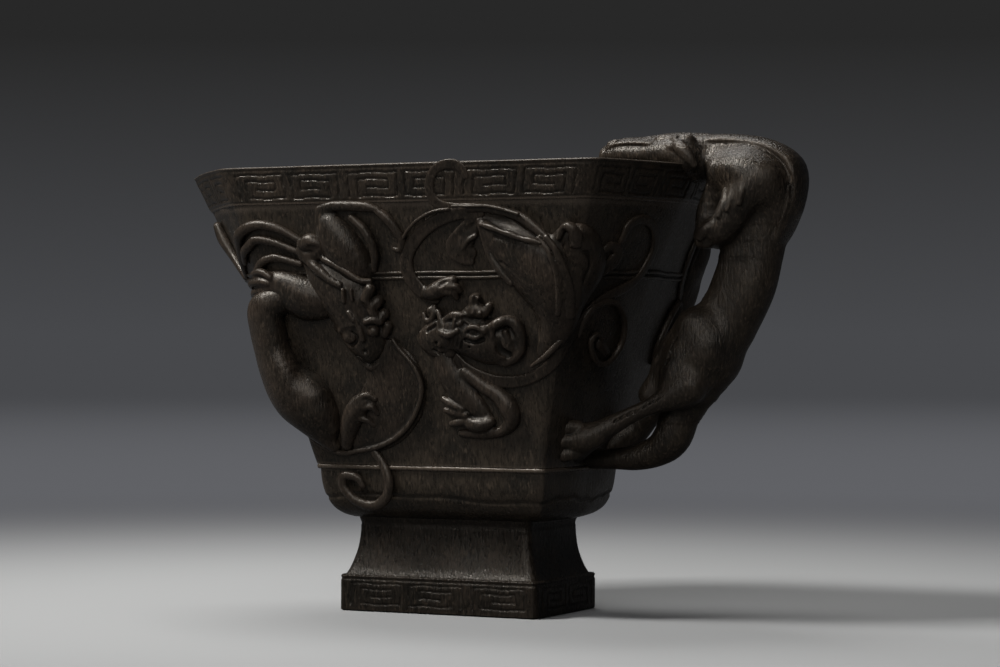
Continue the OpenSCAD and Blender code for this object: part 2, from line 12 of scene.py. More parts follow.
import bpy
import numpy as np
import openvdb
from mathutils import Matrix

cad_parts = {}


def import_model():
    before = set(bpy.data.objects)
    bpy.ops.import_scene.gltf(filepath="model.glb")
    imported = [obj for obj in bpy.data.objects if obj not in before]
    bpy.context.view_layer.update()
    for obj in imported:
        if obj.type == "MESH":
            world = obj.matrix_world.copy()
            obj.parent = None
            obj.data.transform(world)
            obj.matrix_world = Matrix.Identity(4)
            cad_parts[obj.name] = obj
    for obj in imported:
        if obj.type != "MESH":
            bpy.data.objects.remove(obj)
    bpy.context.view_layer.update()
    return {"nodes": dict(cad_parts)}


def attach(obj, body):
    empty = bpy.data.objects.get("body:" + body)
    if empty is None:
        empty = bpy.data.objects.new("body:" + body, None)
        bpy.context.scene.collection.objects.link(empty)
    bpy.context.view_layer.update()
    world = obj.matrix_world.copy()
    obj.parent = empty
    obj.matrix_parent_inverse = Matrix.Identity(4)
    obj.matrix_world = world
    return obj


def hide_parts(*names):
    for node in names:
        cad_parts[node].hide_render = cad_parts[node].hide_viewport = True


log = logging.getLogger("horn_cup")

MM = 0.001  # metres in a millimetre
SIDES = 6  # of the cup's plan
CORNER_POINTS = 6  # on each rounded corner of the foot
RIPPLE_WAVES = 7  # summed in each scraped surface
PLANED_EDGE = 0.3  # millimetres of rounding where a strand is planed off
STANDOUT_ROUNDS = (4, 60)  # fewest and most rounds of smoothing that the standout is measured against
LEAST_EDGE = 0.05  # millimetres, the shortest mesh edge that the standout reckons with


class Slot(Enum):
    """Material slots of the record."""

    WALL = "horn_wall"
    EDGE = "horn_edge"
    RELIEF = "horn_relief"
    HANDLE = "horn_handle"


class Side(Enum):
    """The long face that a carving lies on."""

    NEAR = "near"
    FAR = "far"


def linear(code: str) -> tuple[float, float, float, float]:
    """Turn an sRGB hex colour to linear.

    Args:
        code: the colour, such as "#2e2621".

    Returns:
        Red, green, blue and an alpha of 1.
    """
    parts = [int(code[i:i + 2], 16) / 255 for i in (1, 3, 5)]
    values = [p / 12.92 if p <= 0.04045 else ((p + 0.055) / 1.055) ** 2.4 for p in parts]
    return (values[0], values[1], values[2], 1.0)


def smoothstep(low: float, high: float, x: np.ndarray) -> np.ndarray:
    """Return a smooth step of x from 0 at low to 1 at high."""
    t = np.clip((x - low) / (high - low), 0.0, 1.0)
    return t * t * (3.0 - 2.0 * t)


def unit(a: np.ndarray) -> np.ndarray:
    """Return vectors at unit length."""
    return a / np.maximum(np.linalg.norm(a, axis=-1, keepdims=True), 1e-9)


def spline(points: np.ndarray, count: int) -> np.ndarray:
    """Run a smooth curve through points.

    Args:
        points: the points, one a row, of any dimension.
        count: how many samples to return.

    Returns:
        Samples of a Catmull-Rom curve, spread evenly over its points' chord lengths.
    """
    p = np.asarray(points, float)
    if len(p) < 3:
        t = np.linspace(0.0, 1.0, count)[:, None]
        return p[0] * (1 - t) + p[-1] * t
    ext = np.vstack([2 * p[0] - p[1], p, 2 * p[-1] - p[-2]])
    gaps = np.linalg.norm(np.diff(p, axis=0), axis=1)
    at = np.concatenate([[0.0], np.cumsum(gaps)])
    where = np.linspace(0.0, at[-1], count)
    i = np.clip(np.searchsorted(at, where, side="right") - 1, 0, len(p) - 2)
    t = ((where - at[i]) / np.maximum(gaps[i], 1e-9))[:, None]
    a, b, c, d = ext[i], ext[i + 1], ext[i + 2], ext[i + 3]
    return 0.5 * (2 * b + (c - a) * t + (2 * a - 5 * b + 4 * c - d) * t ** 2
                  + (3 * b - a - 3 * c + d) * t ** 3)


# Mesh tools


def new_object(name: str, verts: np.ndarray, faces: np.ndarray) -> bpy.types.Object:
    """Make a smooth-shaded mesh object from points in millimetres.

    Args:
        name: name of the piece.
        verts: points, one a row, in millimetres.
        faces: quads, one a row, or a list of faces of any size.

    Returns:
        The new object, at the origin.
    """
    mesh = bpy.data.meshes.new(name)
    mesh.from_pydata((np.asarray(verts) * MM).tolist(), [], [list(map(int, f)) for f in faces])
    mesh.update()
    mesh.shade_smooth()
    obj = bpy.data.objects.new(name, mesh)
    bpy.context.scene.collection.objects.link(obj)
    return obj


def grid_faces(rows: int, cols: int, wrap_rows: bool, wrap_cols: bool) -> np.ndarray:
    """Number the quads of a grid of points.

    Args:
        rows: number of rows of points.
        cols: number of points in a row.
        wrap_rows: join the last row to the first.
        wrap_cols: join the last point of a row to its first.

    Returns:
        Four indices a face.
    """
    i = np.arange(rows if wrap_rows else rows - 1)
    j = np.arange(cols if wrap_cols else cols - 1)
    ii, jj = np.meshgrid(i, j, indexing="ij")
    i2, j2 = (ii + 1) % rows, (jj + 1) % cols
    quads = np.stack([ii * cols + jj, ii * cols + j2, i2 * cols + j2, i2 * cols + jj], -1)
    return quads.reshape(-1, 4)


def loft(name: str, rings: np.ndarray, capped: bool) -> bpy.types.Object:
    """Skin a stack of closed rings.

    Args:
        name: name of the piece.
        rings: points by row and column, in millimetres.
        capped: close the two ends with flat faces. Otherwise the last row joins the first.

    Returns:
        The closed object.
    """
    rows, cols = rings.shape[:2]
    faces = grid_faces(rows, cols, not capped, True).tolist()
    if capped:
        faces.append(list(range(cols))[::-1])
        faces.append(list(range((rows - 1) * cols, rows * cols)))
    obj = new_object(name, rings.reshape(-1, 3), faces)
    outward(obj)
    return obj


def unlooped(ring: np.ndarray) -> np.ndarray:
    """Cut off the small loops that a ring moved inwards makes at its corners.

    Args:
        ring: points of a closed ring round the upright axis, in millimetres.

    Returns:
        The ring with each loop replaced by a short straight.
    """
    n = len(ring)
    middle = ring[:, :2].mean(axis=0)
    turn = np.unwrap(np.arctan2(ring[:, 1] - middle[1], ring[:, 0] - middle[0]))
    turn *= np.sign(turn[-1] - turn[0])
    turn = np.concatenate([turn - 2 * math.pi, turn, turn + 2 * math.pi])
    ahead = np.minimum.accumulate(turn[::-1])[::-1]
    good = np.flatnonzero(np.maximum.accumulate(turn) - ahead < 1e-9)
    points = np.tile(ring, (3, 1))
    places = np.arange(n, 2 * n)
    return np.stack([np.interp(places, good, points[good, axis]) for axis in range(3)], axis=1)


def only(obj: bpy.types.Object) -> None:
    """Select one object alone and make it active."""
    bpy.ops.object.select_all(action="DESELECT")
    obj.select_set(True)
    bpy.context.view_layer.objects.active = obj


def outward(obj: bpy.types.Object) -> None:
    """Turn the faces of a closed mesh outwards."""
    only(obj)
    bpy.ops.object.mode_set(mode="EDIT")
    bpy.ops.mesh.select_all(action="SELECT")
    bpy.ops.mesh.normals_make_consistent(inside=False)
    bpy.ops.object.mode_set(mode="OBJECT")


def positions(obj: bpy.types.Object) -> np.ndarray:
    """Return a mesh's points in millimetres."""
    n = len(obj.data.vertices)
    flat = np.empty(n * 3, np.float32)
    obj.data.vertices.foreach_get("co", flat)
    return flat.reshape(n, 3).astype(float) / MM


def normals(obj: bpy.types.Object) -> np.ndarray:
    """Return a mesh's vertex normals."""
    n = len(obj.data.vertices)
    flat = np.empty(n * 3, np.float32)
    obj.data.vertex_normals.foreach_get("vector", flat)
    return flat.reshape(n, 3).astype(float)


def edges(obj: bpy.types.Object) -> np.ndarray:
    """Return a mesh's edges as pairs of points."""
    n = len(obj.data.edges)
    flat = np.empty(n * 2, np.int32)
    obj.data.edges.foreach_get("vertices", flat)
    return flat.reshape(n, 2)


def spread_out(values: np.ndarray, pairs: np.ndarray, rounds: int) -> np.ndarray:
    """Average values with their neighbours.

    Args:
        values: one row a point.
        pairs: the mesh's edges.
        rounds: how many times to average.

    Returns:
        The smoothed values.
    """
    n = len(values)
    count = np.bincount(pairs.ravel(), minlength=n)[:, None]
    out = values.astype(float)
    for _ in range(rounds):
        total = np.zeros_like(out)
        for axis in range(out.shape[1]):
            total[:, axis] = (np.bincount(pairs[:, 0], out[pairs[:, 1], axis], n)
                              + np.bincount(pairs[:, 1], out[pairs[:, 0], axis], n))
        out = 0.5 * out + 0.5 * total / np.maximum(count, 1)
    return out


def mark_standout(obj: bpy.types.Object, reach: float = 0.9) -> None:
    """Store how far each point stands out of the surface round it, for ridges and hollows.

    Args:
        obj: the finished piece.
        reach: size in millimetres of the detail that counts.
    """
    points, pairs = positions(obj), edges(obj)
    step = float(np.median(np.linalg.norm(points[pairs[:, 0]] - points[pairs[:, 1]], axis=1)))
    rounds = int(np.clip(2.0 * (reach / max(step, LEAST_EDGE)) ** 2, *STANDOUT_ROUNDS))
    out = np.einsum("ij,ij->i", normals(obj), points - spread_out(points, pairs, rounds))
    out = spread_out(out[:, None], pairs, 2)[:, 0] / reach
    # the horn finish paints ridges paler from this (partly rubbing, partly a painted highlight) and
    # hollows darker as painted shade
    layer = obj.data.attributes.new("standout", "FLOAT", "POINT")
    layer.data.foreach_set("value", out.astype(np.float32))


# The cup's wall


@dataclass(frozen=True)
class CupSizes:
    """Driving sizes of the cup, in millimetres."""

    rim_z: float = 100.3
    spout_reach: float = 74.0
    end_reach: float = 57.4
    rim_w: float = 71.4
    spout_corner: float = 43.8
    end_corner: float = 48.6
    lip_t: float = 2.4
    wall_t: float = 4.5
    floor_t: float = 4.0
    lip_h: float = 8.6
    lip_proud: float = 0.5
    string_drop: float = 25.5
    string_h: float = 2.0
    string_proud: float = 0.6
    foot_w: float = 50.0
    foot_d: float = 31.4
    plinth_h: float = 8.3
    stem_w: float = 43.8
    stem_d: float = 25.4
    stem_h: float = 13.0
    girdle_w: float = 57.0
    girdle_d: float = 41.0
    girdle_h: float = 11.1
    fillet_h: float = 1.2
    fillet_proud: float = 0.7
    handle_stand: float = 25.7
    handle_t: float = 10.0

    @property
    def stem_z(self) -> float:
        """Height where the stem ends."""
        return self.plinth_h + self.stem_h

    @property
    def girdle_z(self) -> float:
        """Height where the girdle ends."""
        return self.stem_z + self.girdle_h

    @property
    def body_z(self) -> float:
        """Height where the wall starts."""
        return self.girdle_z + self.fillet_h

    @property
    def body_h(self) -> float:
        """Height of the wall up to the rim."""
        return self.rim_z - self.body_z

    @property
    def lip_z(self) -> float:
        """Height where the lip band starts."""
        return self.rim_z - self.lip_h

    @property
    def string_z(self) -> float:
        """Height of the double line's lower edge."""
        return self.rim_z - self.string_drop


@dataclass(frozen=True)
class CupWall:
    """The six-sided flaring wall, as a surface of (u, v)."""

    sizes: CupSizes = field(default_factory=CupSizes)
    base_corner_shares: tuple = ((-1.08, 0), (-0.99, -1), (1.02, -1), (1.08, 0), (1.02, 1),
                                 (-0.99, 1))
    flare_powers: tuple = (0.9, 1.0, 1.4, 1.2, 0.9, 1.0)
    round_share: float = 0.05
    bow_share: float = 0.02
    near_rim: float = 0.95
    measures_a_side: int = 400

    def corner(self, k: np.ndarray, v: np.ndarray) -> np.ndarray:
        """Return the plan's corners k at height shares v."""
        s = self.sizes
        half = np.array([s.girdle_w / 2, s.girdle_d / 2])
        base = np.array(self.base_corner_shares) * half
        y = s.rim_w / 2
        rim = np.array([(-s.spout_reach, 0), (-s.spout_corner, -y), (s.end_corner, -y),
                        (s.end_reach, 0), (s.end_corner, y), (-s.spout_corner, y)])
        k = np.mod(k, SIDES).astype(int)
        share = np.sign(v) * np.abs(v) ** np.array(self.flare_powers)[k]
        return base[k] + (rim[k] - base[k]) * share[..., None]

    def side(self, u: np.ndarray, v: np.ndarray) -> np.ndarray:
        """Return points on the plan's slightly bowed sides."""
        k = np.floor(u)
        t = (u - k)[..., None]
        flat = self.corner(k, v) * (1 - t) + self.corner(k + 1, v) * t
        return flat * (1 + self.bow_share * 4 * t * (1 - t))

    def plan(self, u: np.ndarray, v: np.ndarray) -> np.ndarray:
        """Return points on the plan with its corners rounded."""
        u, v = np.broadcast_arrays(np.asarray(u, float), np.asarray(v, float))
        k, r = np.round(u), self.round_share
        t = ((u - k + r) / (2 * r))[..., None]
        a, b, c = self.side(k - r, v), self.corner(k, v), self.side(k + r, v)
        curve = (1 - t) ** 2 * a + 2 * t * (1 - t) * b + t * t * c
        return np.where((np.abs(u - k) < r)[..., None], curve, self.side(u, v))

    def direction(self, u: np.ndarray, v: np.ndarray) -> np.ndarray:
        """Return the flat outward direction of the plan."""
        step = 0.01
        d = self.plan(u + step, v) - self.plan(u - step, v)
        return unit(np.stack([d[..., 1], -d[..., 0]], -1))

    def point(self, u: np.ndarray, v: np.ndarray) -> np.ndarray:
        """Return points on the wall."""
        u, v = np.broadcast_arrays(np.asarray(u, float), np.asarray(v, float))
        z = self.sizes.body_z + v * self.sizes.body_h
        return np.concatenate([self.plan(u, v), z[..., None]], -1)

    def normal(self, u: np.ndarray, v: np.ndarray) -> np.ndarray:
        """Return the wall's outward normals."""
        step = 0.01
        across = self.point(u + step, v) - self.point(u - step, v)
        up = self.point(u, v + step) - self.point(u, v - step)
        return unit(np.cross(across, up))

    def place(self, u: np.ndarray, v: np.ndarray, lift: np.ndarray, side: Side) -> np.ndarray:
        """Return points that stand out of the wall.

        Args:
            u: corners from the spout.
            v: height shares.
            lift: distances out of the wall, in millimetres.
            side: the long face, near or far.

        Returns:
            Points in millimetres.
        """
        u = np.asarray(u, float)
        if side is Side.FAR:
            u = SIDES - u
        lift = np.asarray(lift, float)
        return self.point(u, v) + self.normal(u, v) * lift[..., None]

    def ring(self, u: np.ndarray, z: np.ndarray, proud: np.ndarray) -> np.ndarray:
        """Return a level ring moved out of the wall by proud."""
        u, z, proud = np.broadcast_arrays(u, z, proud)
        v = (z - self.sizes.body_z) / self.sizes.body_h
        flat = self.plan(u, v) + self.direction(u, v) * proud[..., None]
        return np.concatenate([flat, z[..., None]], -1)

    def columns(self, step: float) -> tuple[np.ndarray, np.ndarray, np.ndarray, np.ndarray]:
        """Spread columns round the plan at an even spacing at the rim.

        Args:
            step: spacing in millimetres.

        Returns:
            u of each column, its side's number, its distance along that side, and that side's
            length.
        """
        us, sides, along, lengths = [], [], [], []
        for k in range(SIDES):
            fine = np.linspace(k, k + 1, self.measures_a_side)
            p = self.plan(fine, np.full(len(fine), self.near_rim))
            at = np.concatenate([[0], np.cumsum(np.linalg.norm(np.diff(p, axis=0), axis=1))])
            n = int(round(at[-1] / step))
            s = np.arange(n) * at[-1] / n
            us.append(np.interp(s, at, fine))
            sides.append(np.full(n, k))
            along.append(s)
            lengths.append(np.full(n, at[-1]))
        return (np.concatenate(us), np.concatenate(sides), np.concatenate(along),
                np.concatenate(lengths))


# Incised key frets and the marks of the hand


def groove(x: np.ndarray, middle: np.ndarray, width: float) -> np.ndarray:
    """Return the profile of a soft line cut at a place: 1 in its middle, and 0 away from it."""
    return np.exp(-((x - middle) / width) ** 2)


def wobble(u: np.ndarray, waves: tuple) -> np.ndarray:
    """Return how a hand-cut line strays along u, from the height, rate and phase of its waves."""
    return sum(high * np.sin(u * rate + phase) for high, rate, phase in waves)


@dataclass(frozen=True)
class KeyFret:
    """A square spiral cut into a band, one unit after another, each the other way round.

    core_share and rim_share are where a line's full depth ends and where the line ends, as shares
    of its width. The strays are waves in millimetres: height, rate up, rate along and phase.
    """

    line_w: float = 0.55
    depth: float = 0.24
    core_share: float = 0.22
    rim_share: float = 0.62
    along_strays: tuple = ((0.12, 2.3, 0.9, 0.0), (0.07, 0.0, 3.1, 0.0))
    up_strays: tuple = ((0.11, 0.0, 0.8, 1.0), (0.06, 0.0, 3.7, 0.0))
    spiral_shares: tuple = ((0.09, 0.02), (0.09, 0.96), (0.93, 0.96), (0.93, 0.04), (0.25, 0.04),
                            (0.25, 0.70), (0.77, 0.70), (0.77, 0.36), (0.42, 0.36))

    def cut(self, along: np.ndarray, up: np.ndarray, unit_w: np.ndarray,
            band_h: float) -> np.ndarray:
        """Return the depth of the cut at places on the band.

        Args:
            along: distance along the band, in millimetres.
            up: height above the lower line of the frets.
            unit_w: length of one unit.
            band_h: height of the frets.

        Returns:
            Depths in millimetres.
        """
        along = along + sum(high * np.sin(up * rise + along * run + phase)
                            for high, rise, run, phase in self.along_strays)
        up = up + sum(high * np.sin(up * rise + along * run + phase)
                      for high, rise, run, phase in self.up_strays)
        number = np.floor(along / unit_w)
        x = along - number * unit_w
        x = np.where(np.mod(number, 2) == 1, unit_w - x, x)
        best = np.full(np.broadcast(x, up).shape, np.inf)
        for (ax, ay), (bx, by) in zip(self.spiral_shares[:-1], self.spiral_shares[1:]):
            x0, y0 = ax * unit_w, ay * band_h
            dx, dy = bx * unit_w - x0, by * band_h - y0
            t = np.clip(((x - x0) * dx + (up - y0) * dy) / (dx * dx + dy * dy), 0, 1)
            best = np.minimum(best, np.hypot(x - x0 - t * dx, up - y0 - t * dy))
        core, rim = self.line_w * self.core_share, self.line_w * self.rim_share
        return self.depth * (1 - smoothstep(core, rim, best))


@dataclass(frozen=True)
class Scraping:
    """The soft unevenness that hand scraping leaves: its depth and wavelength, in millimetres."""

    depth: float
    size: float
    seed: int
    size_range: tuple = (0.7, 1.8)
    phases: float = 6.28

    def at(self, points: np.ndarray) -> np.ndarray:
        """Return how far the surface moves at places in millimetres, as a column."""
        rng = np.random.default_rng(self.seed)
        total = np.zeros(points.shape[:-1])
        for _ in range(RIPPLE_WAVES):
            wave = rng.normal(size=3)
            size = self.size * rng.uniform(*self.size_range)
            wave *= 2 * math.pi / size / np.linalg.norm(wave)
            total += np.sin(points @ wave + rng.uniform(0, self.phases))
        return (self.depth * total / (RIPPLE_WAVES / 2))[..., None]


# Carving in clay: distances in a grid, skinned at their zero


def smooth_min(a: np.ndarray, b: np.ndarray, blend: float) -> np.ndarray:
    """Join two fields of distance with a soft fillet between them."""
    if blend <= 0:
        return np.minimum(a, b)
    h = np.maximum(blend - np.abs(a - b), 0) / blend
    return np.minimum(a, b) - h * h * blend / 4


@dataclass(frozen=True)
class Strand:
    """A run of round beads that is laid on a carving or cut from it.

    Each bead on the wall is corners from the spout, height share, radius and lift. Each bead of the
    handle is reach share, side share, height share and radius share. flat is height over width, and
    top planes a strand on the wall off level at a lift, where it isn't nought. In the tables below
    a bead leaves out its last numbers where they are those of the bead before.
    """

    beads: tuple
    flat: float = 1.0
    cut: bool = False
    top: float = 0.0

    def table(self, per_gap: int) -> np.ndarray:
        """Return the beads with smooth ones put between them."""
        beads = np.array(self.beads, float)
        return beads if len(beads) < 2 else spline(beads, (len(beads) - 1) * per_gap + 1)


def filled(beads: tuple) -> tuple:
    """Give beads that leave out their last numbers those of the bead before."""
    full = [beads[0]]
    for bead in beads[1:]:
        full.append(bead + full[-1][len(bead):])
    return tuple(full)


def lay(*beads: tuple, flat: float = 1.0, top: float = 0.0) -> Strand:
    """Return a strand that is laid on."""
    return Strand(filled(beads), flat, False, top)


def dig(*beads: tuple) -> Strand:
    """Return a strand that is cut away."""
    return Strand(filled(beads), 1.0, True)


def turned(strand: Strand) -> Strand:
    """Return a handle's strand on the other side, where Y has the other sign."""
    return replace(strand, beads=tuple((x, -y, z, r) for x, y, z, r in strand.beads))


def pair(strand: Strand) -> tuple[Strand, Strand]:
    """Return a handle's strand on both sides."""
    return strand, turned(strand)


@dataclass
class Clay:
    """A block of space that strands are added to and cut from."""

    low: np.ndarray
    high: np.ndarray
    cell: float
    far: float = 2.5
    values: np.ndarray = field(init=False)

    def __post_init__(self) -> None:
        """Fill the block with empty space."""
        shape = np.ceil((self.high - self.low) / self.cell).astype(int) + 1
        self.values = np.full(shape, self.far, np.float32)

    def window(self, low: np.ndarray, high: np.ndarray) -> tuple[slice, slice, slice]:
        """Return the cells of a box, kept inside the block."""
        i = np.clip(np.floor((low - self.low) / self.cell).astype(int), 0, self.values.shape)
        j = np.clip(np.ceil((high - self.low) / self.cell).astype(int) + 1, 0, self.values.shape)
        return tuple(slice(a, b) for a, b in zip(i, j))

    def axes(self, part: tuple[slice, slice, slice]) -> list[np.ndarray]:
        """Return the coordinates of a window's cells, ready to broadcast."""
        out = []
        for axis, cut in enumerate(part):
            line = self.low[axis] + np.arange(cut.start, cut.stop) * self.cell
            out.append(line.reshape([-1 if k == axis else 1 for k in range(3)]).astype(np.float32))
        return out

    def run(self, beads: np.ndarray, stretch: np.ndarray, cut: bool, blend: float,
            top: float = 0.0) -> None:
        """Add or cut a run of beads.

        Args:
            beads: x, y, z and radius, one bead a row.
            stretch: how much longer a step is than it looks in the grid, a row for each bead.
            cut: take the run away instead of adding it.
            blend: size of the fillet in millimetres.
            top: height that the run is planed off at, or nought.
        """
        if len(beads) == 1:
            beads, stretch = np.repeat(beads, 2, 0), np.repeat(stretch, 2, 0)
        pad = ((beads[:, 3] + blend + 4 * self.cell)[:, None]) / stretch
        low, high = beads[:, :3] - pad, beads[:, :3] + pad
        whole = self.window(low.min(0), high.max(0))
        if any(s.stop - s.start < 1 for s in whole):
            return
        field_ = np.full([s.stop - s.start for s in whole], self.far, np.float32)
        for k in range(len(beads) - 1):
            part = self.window(np.minimum(low[k], low[k + 1]), np.maximum(high[k], high[k + 1]))
            if any(s.stop - s.start < 1 for s in part):
                continue
            scale = (stretch[k] + stretch[k + 1]) / 2
            a, b = beads[k], beads[k + 1]
            step = (b[:3] - a[:3]) * scale
            x, y, z = [(c - a[n]) * scale[n] for n, c in enumerate(self.axes(part))]
            t = (x * step[0] + y * step[1] + z * step[2]) / max(float(step @ step), 1e-6)
            t = np.clip(t, 0, 1)
            d = np.sqrt((x - t * step[0]) ** 2 + (y - t * step[1]) ** 2 + (z - t * step[2]) ** 2)
            d -= a[3] + t * (b[3] - a[3])
            at = tuple(slice(p.start - w.start, p.stop - w.start) for p, w in zip(part, whole))
            field_[at] = np.minimum(field_[at], d)
        if top:
            field_ = -smooth_min(-field_, top - self.axes(whole)[2], PLANED_EDGE)
        if cut:
            self.values[whole] = -smooth_min(-self.values[whole], field_, blend)
        else:
            self.values[whole] = smooth_min(self.values[whole], field_, blend)

    def skin(self) -> tuple[np.ndarray, np.ndarray]:
        """Return points and quads on the clay's surface."""
        solid = self.values.copy()
        for axis in range(3):
            for end in (0, -1):
                solid[tuple(end if k == axis else slice(None) for k in range(3))] = self.far
        grid = openvdb.FloatGrid()
        grid.background = self.far
        grid.copyFromArray(solid)
        points, quads = grid.convertToQuads(isovalue=0.0)
        return self.low + np.asarray(points, float) * self.cell, np.asarray(quads)


# Finishes


@dataclass(frozen=True)
class Nodes:
    """The node tree of a material or a world, with short calls for the nodes that repeat."""

    tree: bpy.types.NodeTree

    def add(self, kind: str, settings: dict | None = None, links: dict | None = None,
            out: str | int = 0) -> bpy.types.NodeSocket | None:
        """Add a node.

        Args:
            kind: the node's type, without its prefix.
            settings: values of its properties, or of its inputs by name or number.
            links: sockets that feed its inputs, by name or number.
            out: the output that is wanted, by name or number.

        Returns:
            That output, or nothing where the node has none.
        """
        node = self.tree.nodes.new("ShaderNode" + kind)
        for key, value in (settings or {}).items():
            if isinstance(key, str) and hasattr(node, key):
                setattr(node, key, value)
            else:
                node.inputs[key].default_value = value
        for key, socket in (links or {}).items():
            self.tree.links.new(socket, node.inputs[key])
        return node.outputs[out] if len(node.outputs) else None

    def remap(self, value: bpy.types.NodeSocket, span: tuple, to: tuple = (0.0, 1.0),
              kind: str = "LINEAR") -> bpy.types.NodeSocket:
        """Carry a value from one span to another, held at both ends."""
        return self.add("MapRange", {"From Min": span[0], "From Max": span[1], "To Min": to[0],
                                     "To Max": to[1], "interpolation_type": kind}, {"Value": value})

    def mix(self, share: bpy.types.NodeSocket, first: bpy.types.NodeSocket | str,
            second: bpy.types.NodeSocket | str) -> bpy.types.NodeSocket:
        """Mix two colours, each a socket or a hex code, by the second one's share."""
        settings, links = {"data_type": "RGBA"}, {0: share}
        for key, colour in ((6, first), (7, second)):
            if isinstance(colour, str):
                settings[key] = linear(colour)
            else:
                links[key] = colour
        return self.add("Mix", settings, links, 2)

    def noise(self, place: bpy.types.NodeSocket, scale: float, detail: float, rough: float,
              warp: float = 0.0) -> bpy.types.NodeSocket:
        """Draw noise at a place."""
        return self.add("TexNoise", {"Scale": scale, "Detail": detail, "Roughness": rough,
                                     "Distortion": warp}, {"Vector": place})

    def stretched(self, place: bpy.types.NodeSocket, scale: tuple,
                  shift: tuple = (0.0, 0.0, 0.0)) -> bpy.types.NodeSocket:
        """Scale and shift a place."""
        return self.add("Mapping", {"Scale": scale, "Location": shift}, {"Vector": place})

    def plus(self, value: bpy.types.NodeSocket, gain: float,
             rest: bpy.types.NodeSocket) -> bpy.types.NodeSocket:
        """Add a value times a gain to the rest."""
        return self.add("Math", {"operation": "MULTIPLY_ADD", 1: gain}, {0: value, 2: rest})


def new_material(name: str) -> tuple[bpy.types.Material, Nodes]:
    """Make a material with nothing drawn in it yet."""
    mat = bpy.data.materials.new(name)
    mat.use_nodes = True
    mat.node_tree.nodes.clear()
    return mat, Nodes(mat.node_tree)


@dataclass(frozen=True)
class HornFinish:
    """Dark polished horn, cut and scraped by hand.

    Horn is keratin laid in fibres about half a millimetre apart, which run up the cup: the eye
    sees fine upright streaks and red-brown flecks, a soft polish, glossy ridges painted paler,
    partly for rubbing and partly as a painted highlight, and dull hollows darkened with painted
    shade.
    The spans are the values of noise or of the standout between which a mark grows from nothing to
    full.
    """

    name: str
    dark: str = "#1c1915"
    body: str = "#322b23"
    fleck: str = "#564a3e"
    # paler colour on ridges: partly real rubbing of the horn, partly a painted highlight
    wear_and_highlight: str = "#574d43"
    # painted shade: the near-black colour laid into hollows
    painted_hollow_shade: str = "#070605"
    polish: float = 0.28
    fibre_mm: float = 0.5
    fibre_run_mm: float = 2.6
    cloud_mm: float = 8.0
    fleck_share: float = 0.5
    # gain on the paler ridges, which are partly rubbing and partly a painted highlight
    wear_and_highlight_gain: float = 1.0
    bump_mm: float = 0.12
    shine: float = 0.5
    ior: float = 1.54
    tint: str = "#f0e6d8"
    noise_span: tuple = (0.36, 0.64)
    streak_range: tuple = (0.58, 1.55)
    fleck_span: tuple = (0.55, 0.7)
    ridge_span: tuple = (0.06, 0.3)
    ridge_share: float = 0.6
    # hollows: span and share of the painted shade
    hollow_span: tuple = (-0.03, -0.2)
    hollow_shade_share: float = 0.9
    dull_span: tuple = (0.3, 0.7)
    dull_range: tuple = (-0.06, 0.1)
    ridge_polish: float = -0.06
    hollow_dulling: float = 0.3
    fleck_height: float = 0.3

    def build(self) -> bpy.types.Material:
        """Make the material."""
        mat, nodes = new_material(self.name)
        place = nodes.add("TexCoord", out="Object")
        across, run = 1 / (self.fibre_mm * MM), 1 / (self.fibre_run_mm * MM)
        fibres = nodes.noise(nodes.stretched(place, (across, across, run)), 1.0, 4.0, 0.68, 0.4)
        coarse = nodes.stretched(place, (across / 0.8, across / 0.8, run * 1.6), (3.1, 7.7, 1.3))
        flecks = nodes.noise(coarse, 1.0, 2.0, 0.5)
        clouds = nodes.noise(place, 1 / (self.cloud_mm * MM), 6.0, 0.62)
        standout = nodes.add("Attribute", {"attribute_name": "standout"}, out="Fac")
        # ridge mask: paler colour on ridges, partly real rubbing and partly a painted highlight
        ridge_wear_and_highlight = nodes.remap(standout, self.ridge_span, (0.0, self.ridge_share * self.wear_and_highlight_gain))
        # deep: mask of the painted shade in hollows
        deep = nodes.remap(standout, self.hollow_span, (0.0, self.hollow_shade_share))
        base = nodes.mix(nodes.remap(clouds, self.noise_span), self.dark, self.body)
        streak = nodes.remap(fibres, self.noise_span, self.streak_range)
        streaked = nodes.add("VectorMath", {"operation": "SCALE"}, {0: base, "Scale": streak})
        speck = nodes.remap(flecks, self.fleck_span, (0.0, self.fleck_share))
        # ridges mixed towards the paler colour: partly rubbing, partly a painted highlight
        wear_and_highlight = nodes.mix(ridge_wear_and_highlight, nodes.mix(speck, streaked, self.fleck), self.wear_and_highlight)
        # hollows mixed towards near black: painted shade
        colour = nodes.mix(deep, wear_and_highlight, self.painted_hollow_shade)
        dull = nodes.remap(fibres, self.dull_span,
                           (self.polish + self.dull_range[0], self.polish + self.dull_range[1]))
        rough = nodes.plus(deep, self.hollow_dulling, nodes.plus(ridge_wear_and_highlight, self.ridge_polish, dull))
        bump = nodes.add("Bump", {"Strength": 1.0, "Distance": self.bump_mm * MM},
                         {"Height": nodes.plus(flecks, self.fleck_height, fibres)})
        shader = nodes.add("BsdfPrincipled",
                           {"IOR": self.ior, "Specular IOR Level": self.shine,
                            "Specular Tint": linear(self.tint)},
                           {"Base Color": colour, "Roughness": rough, "Normal": bump})
        nodes.add("OutputMaterial", links={"Surface": shader})
        return mat


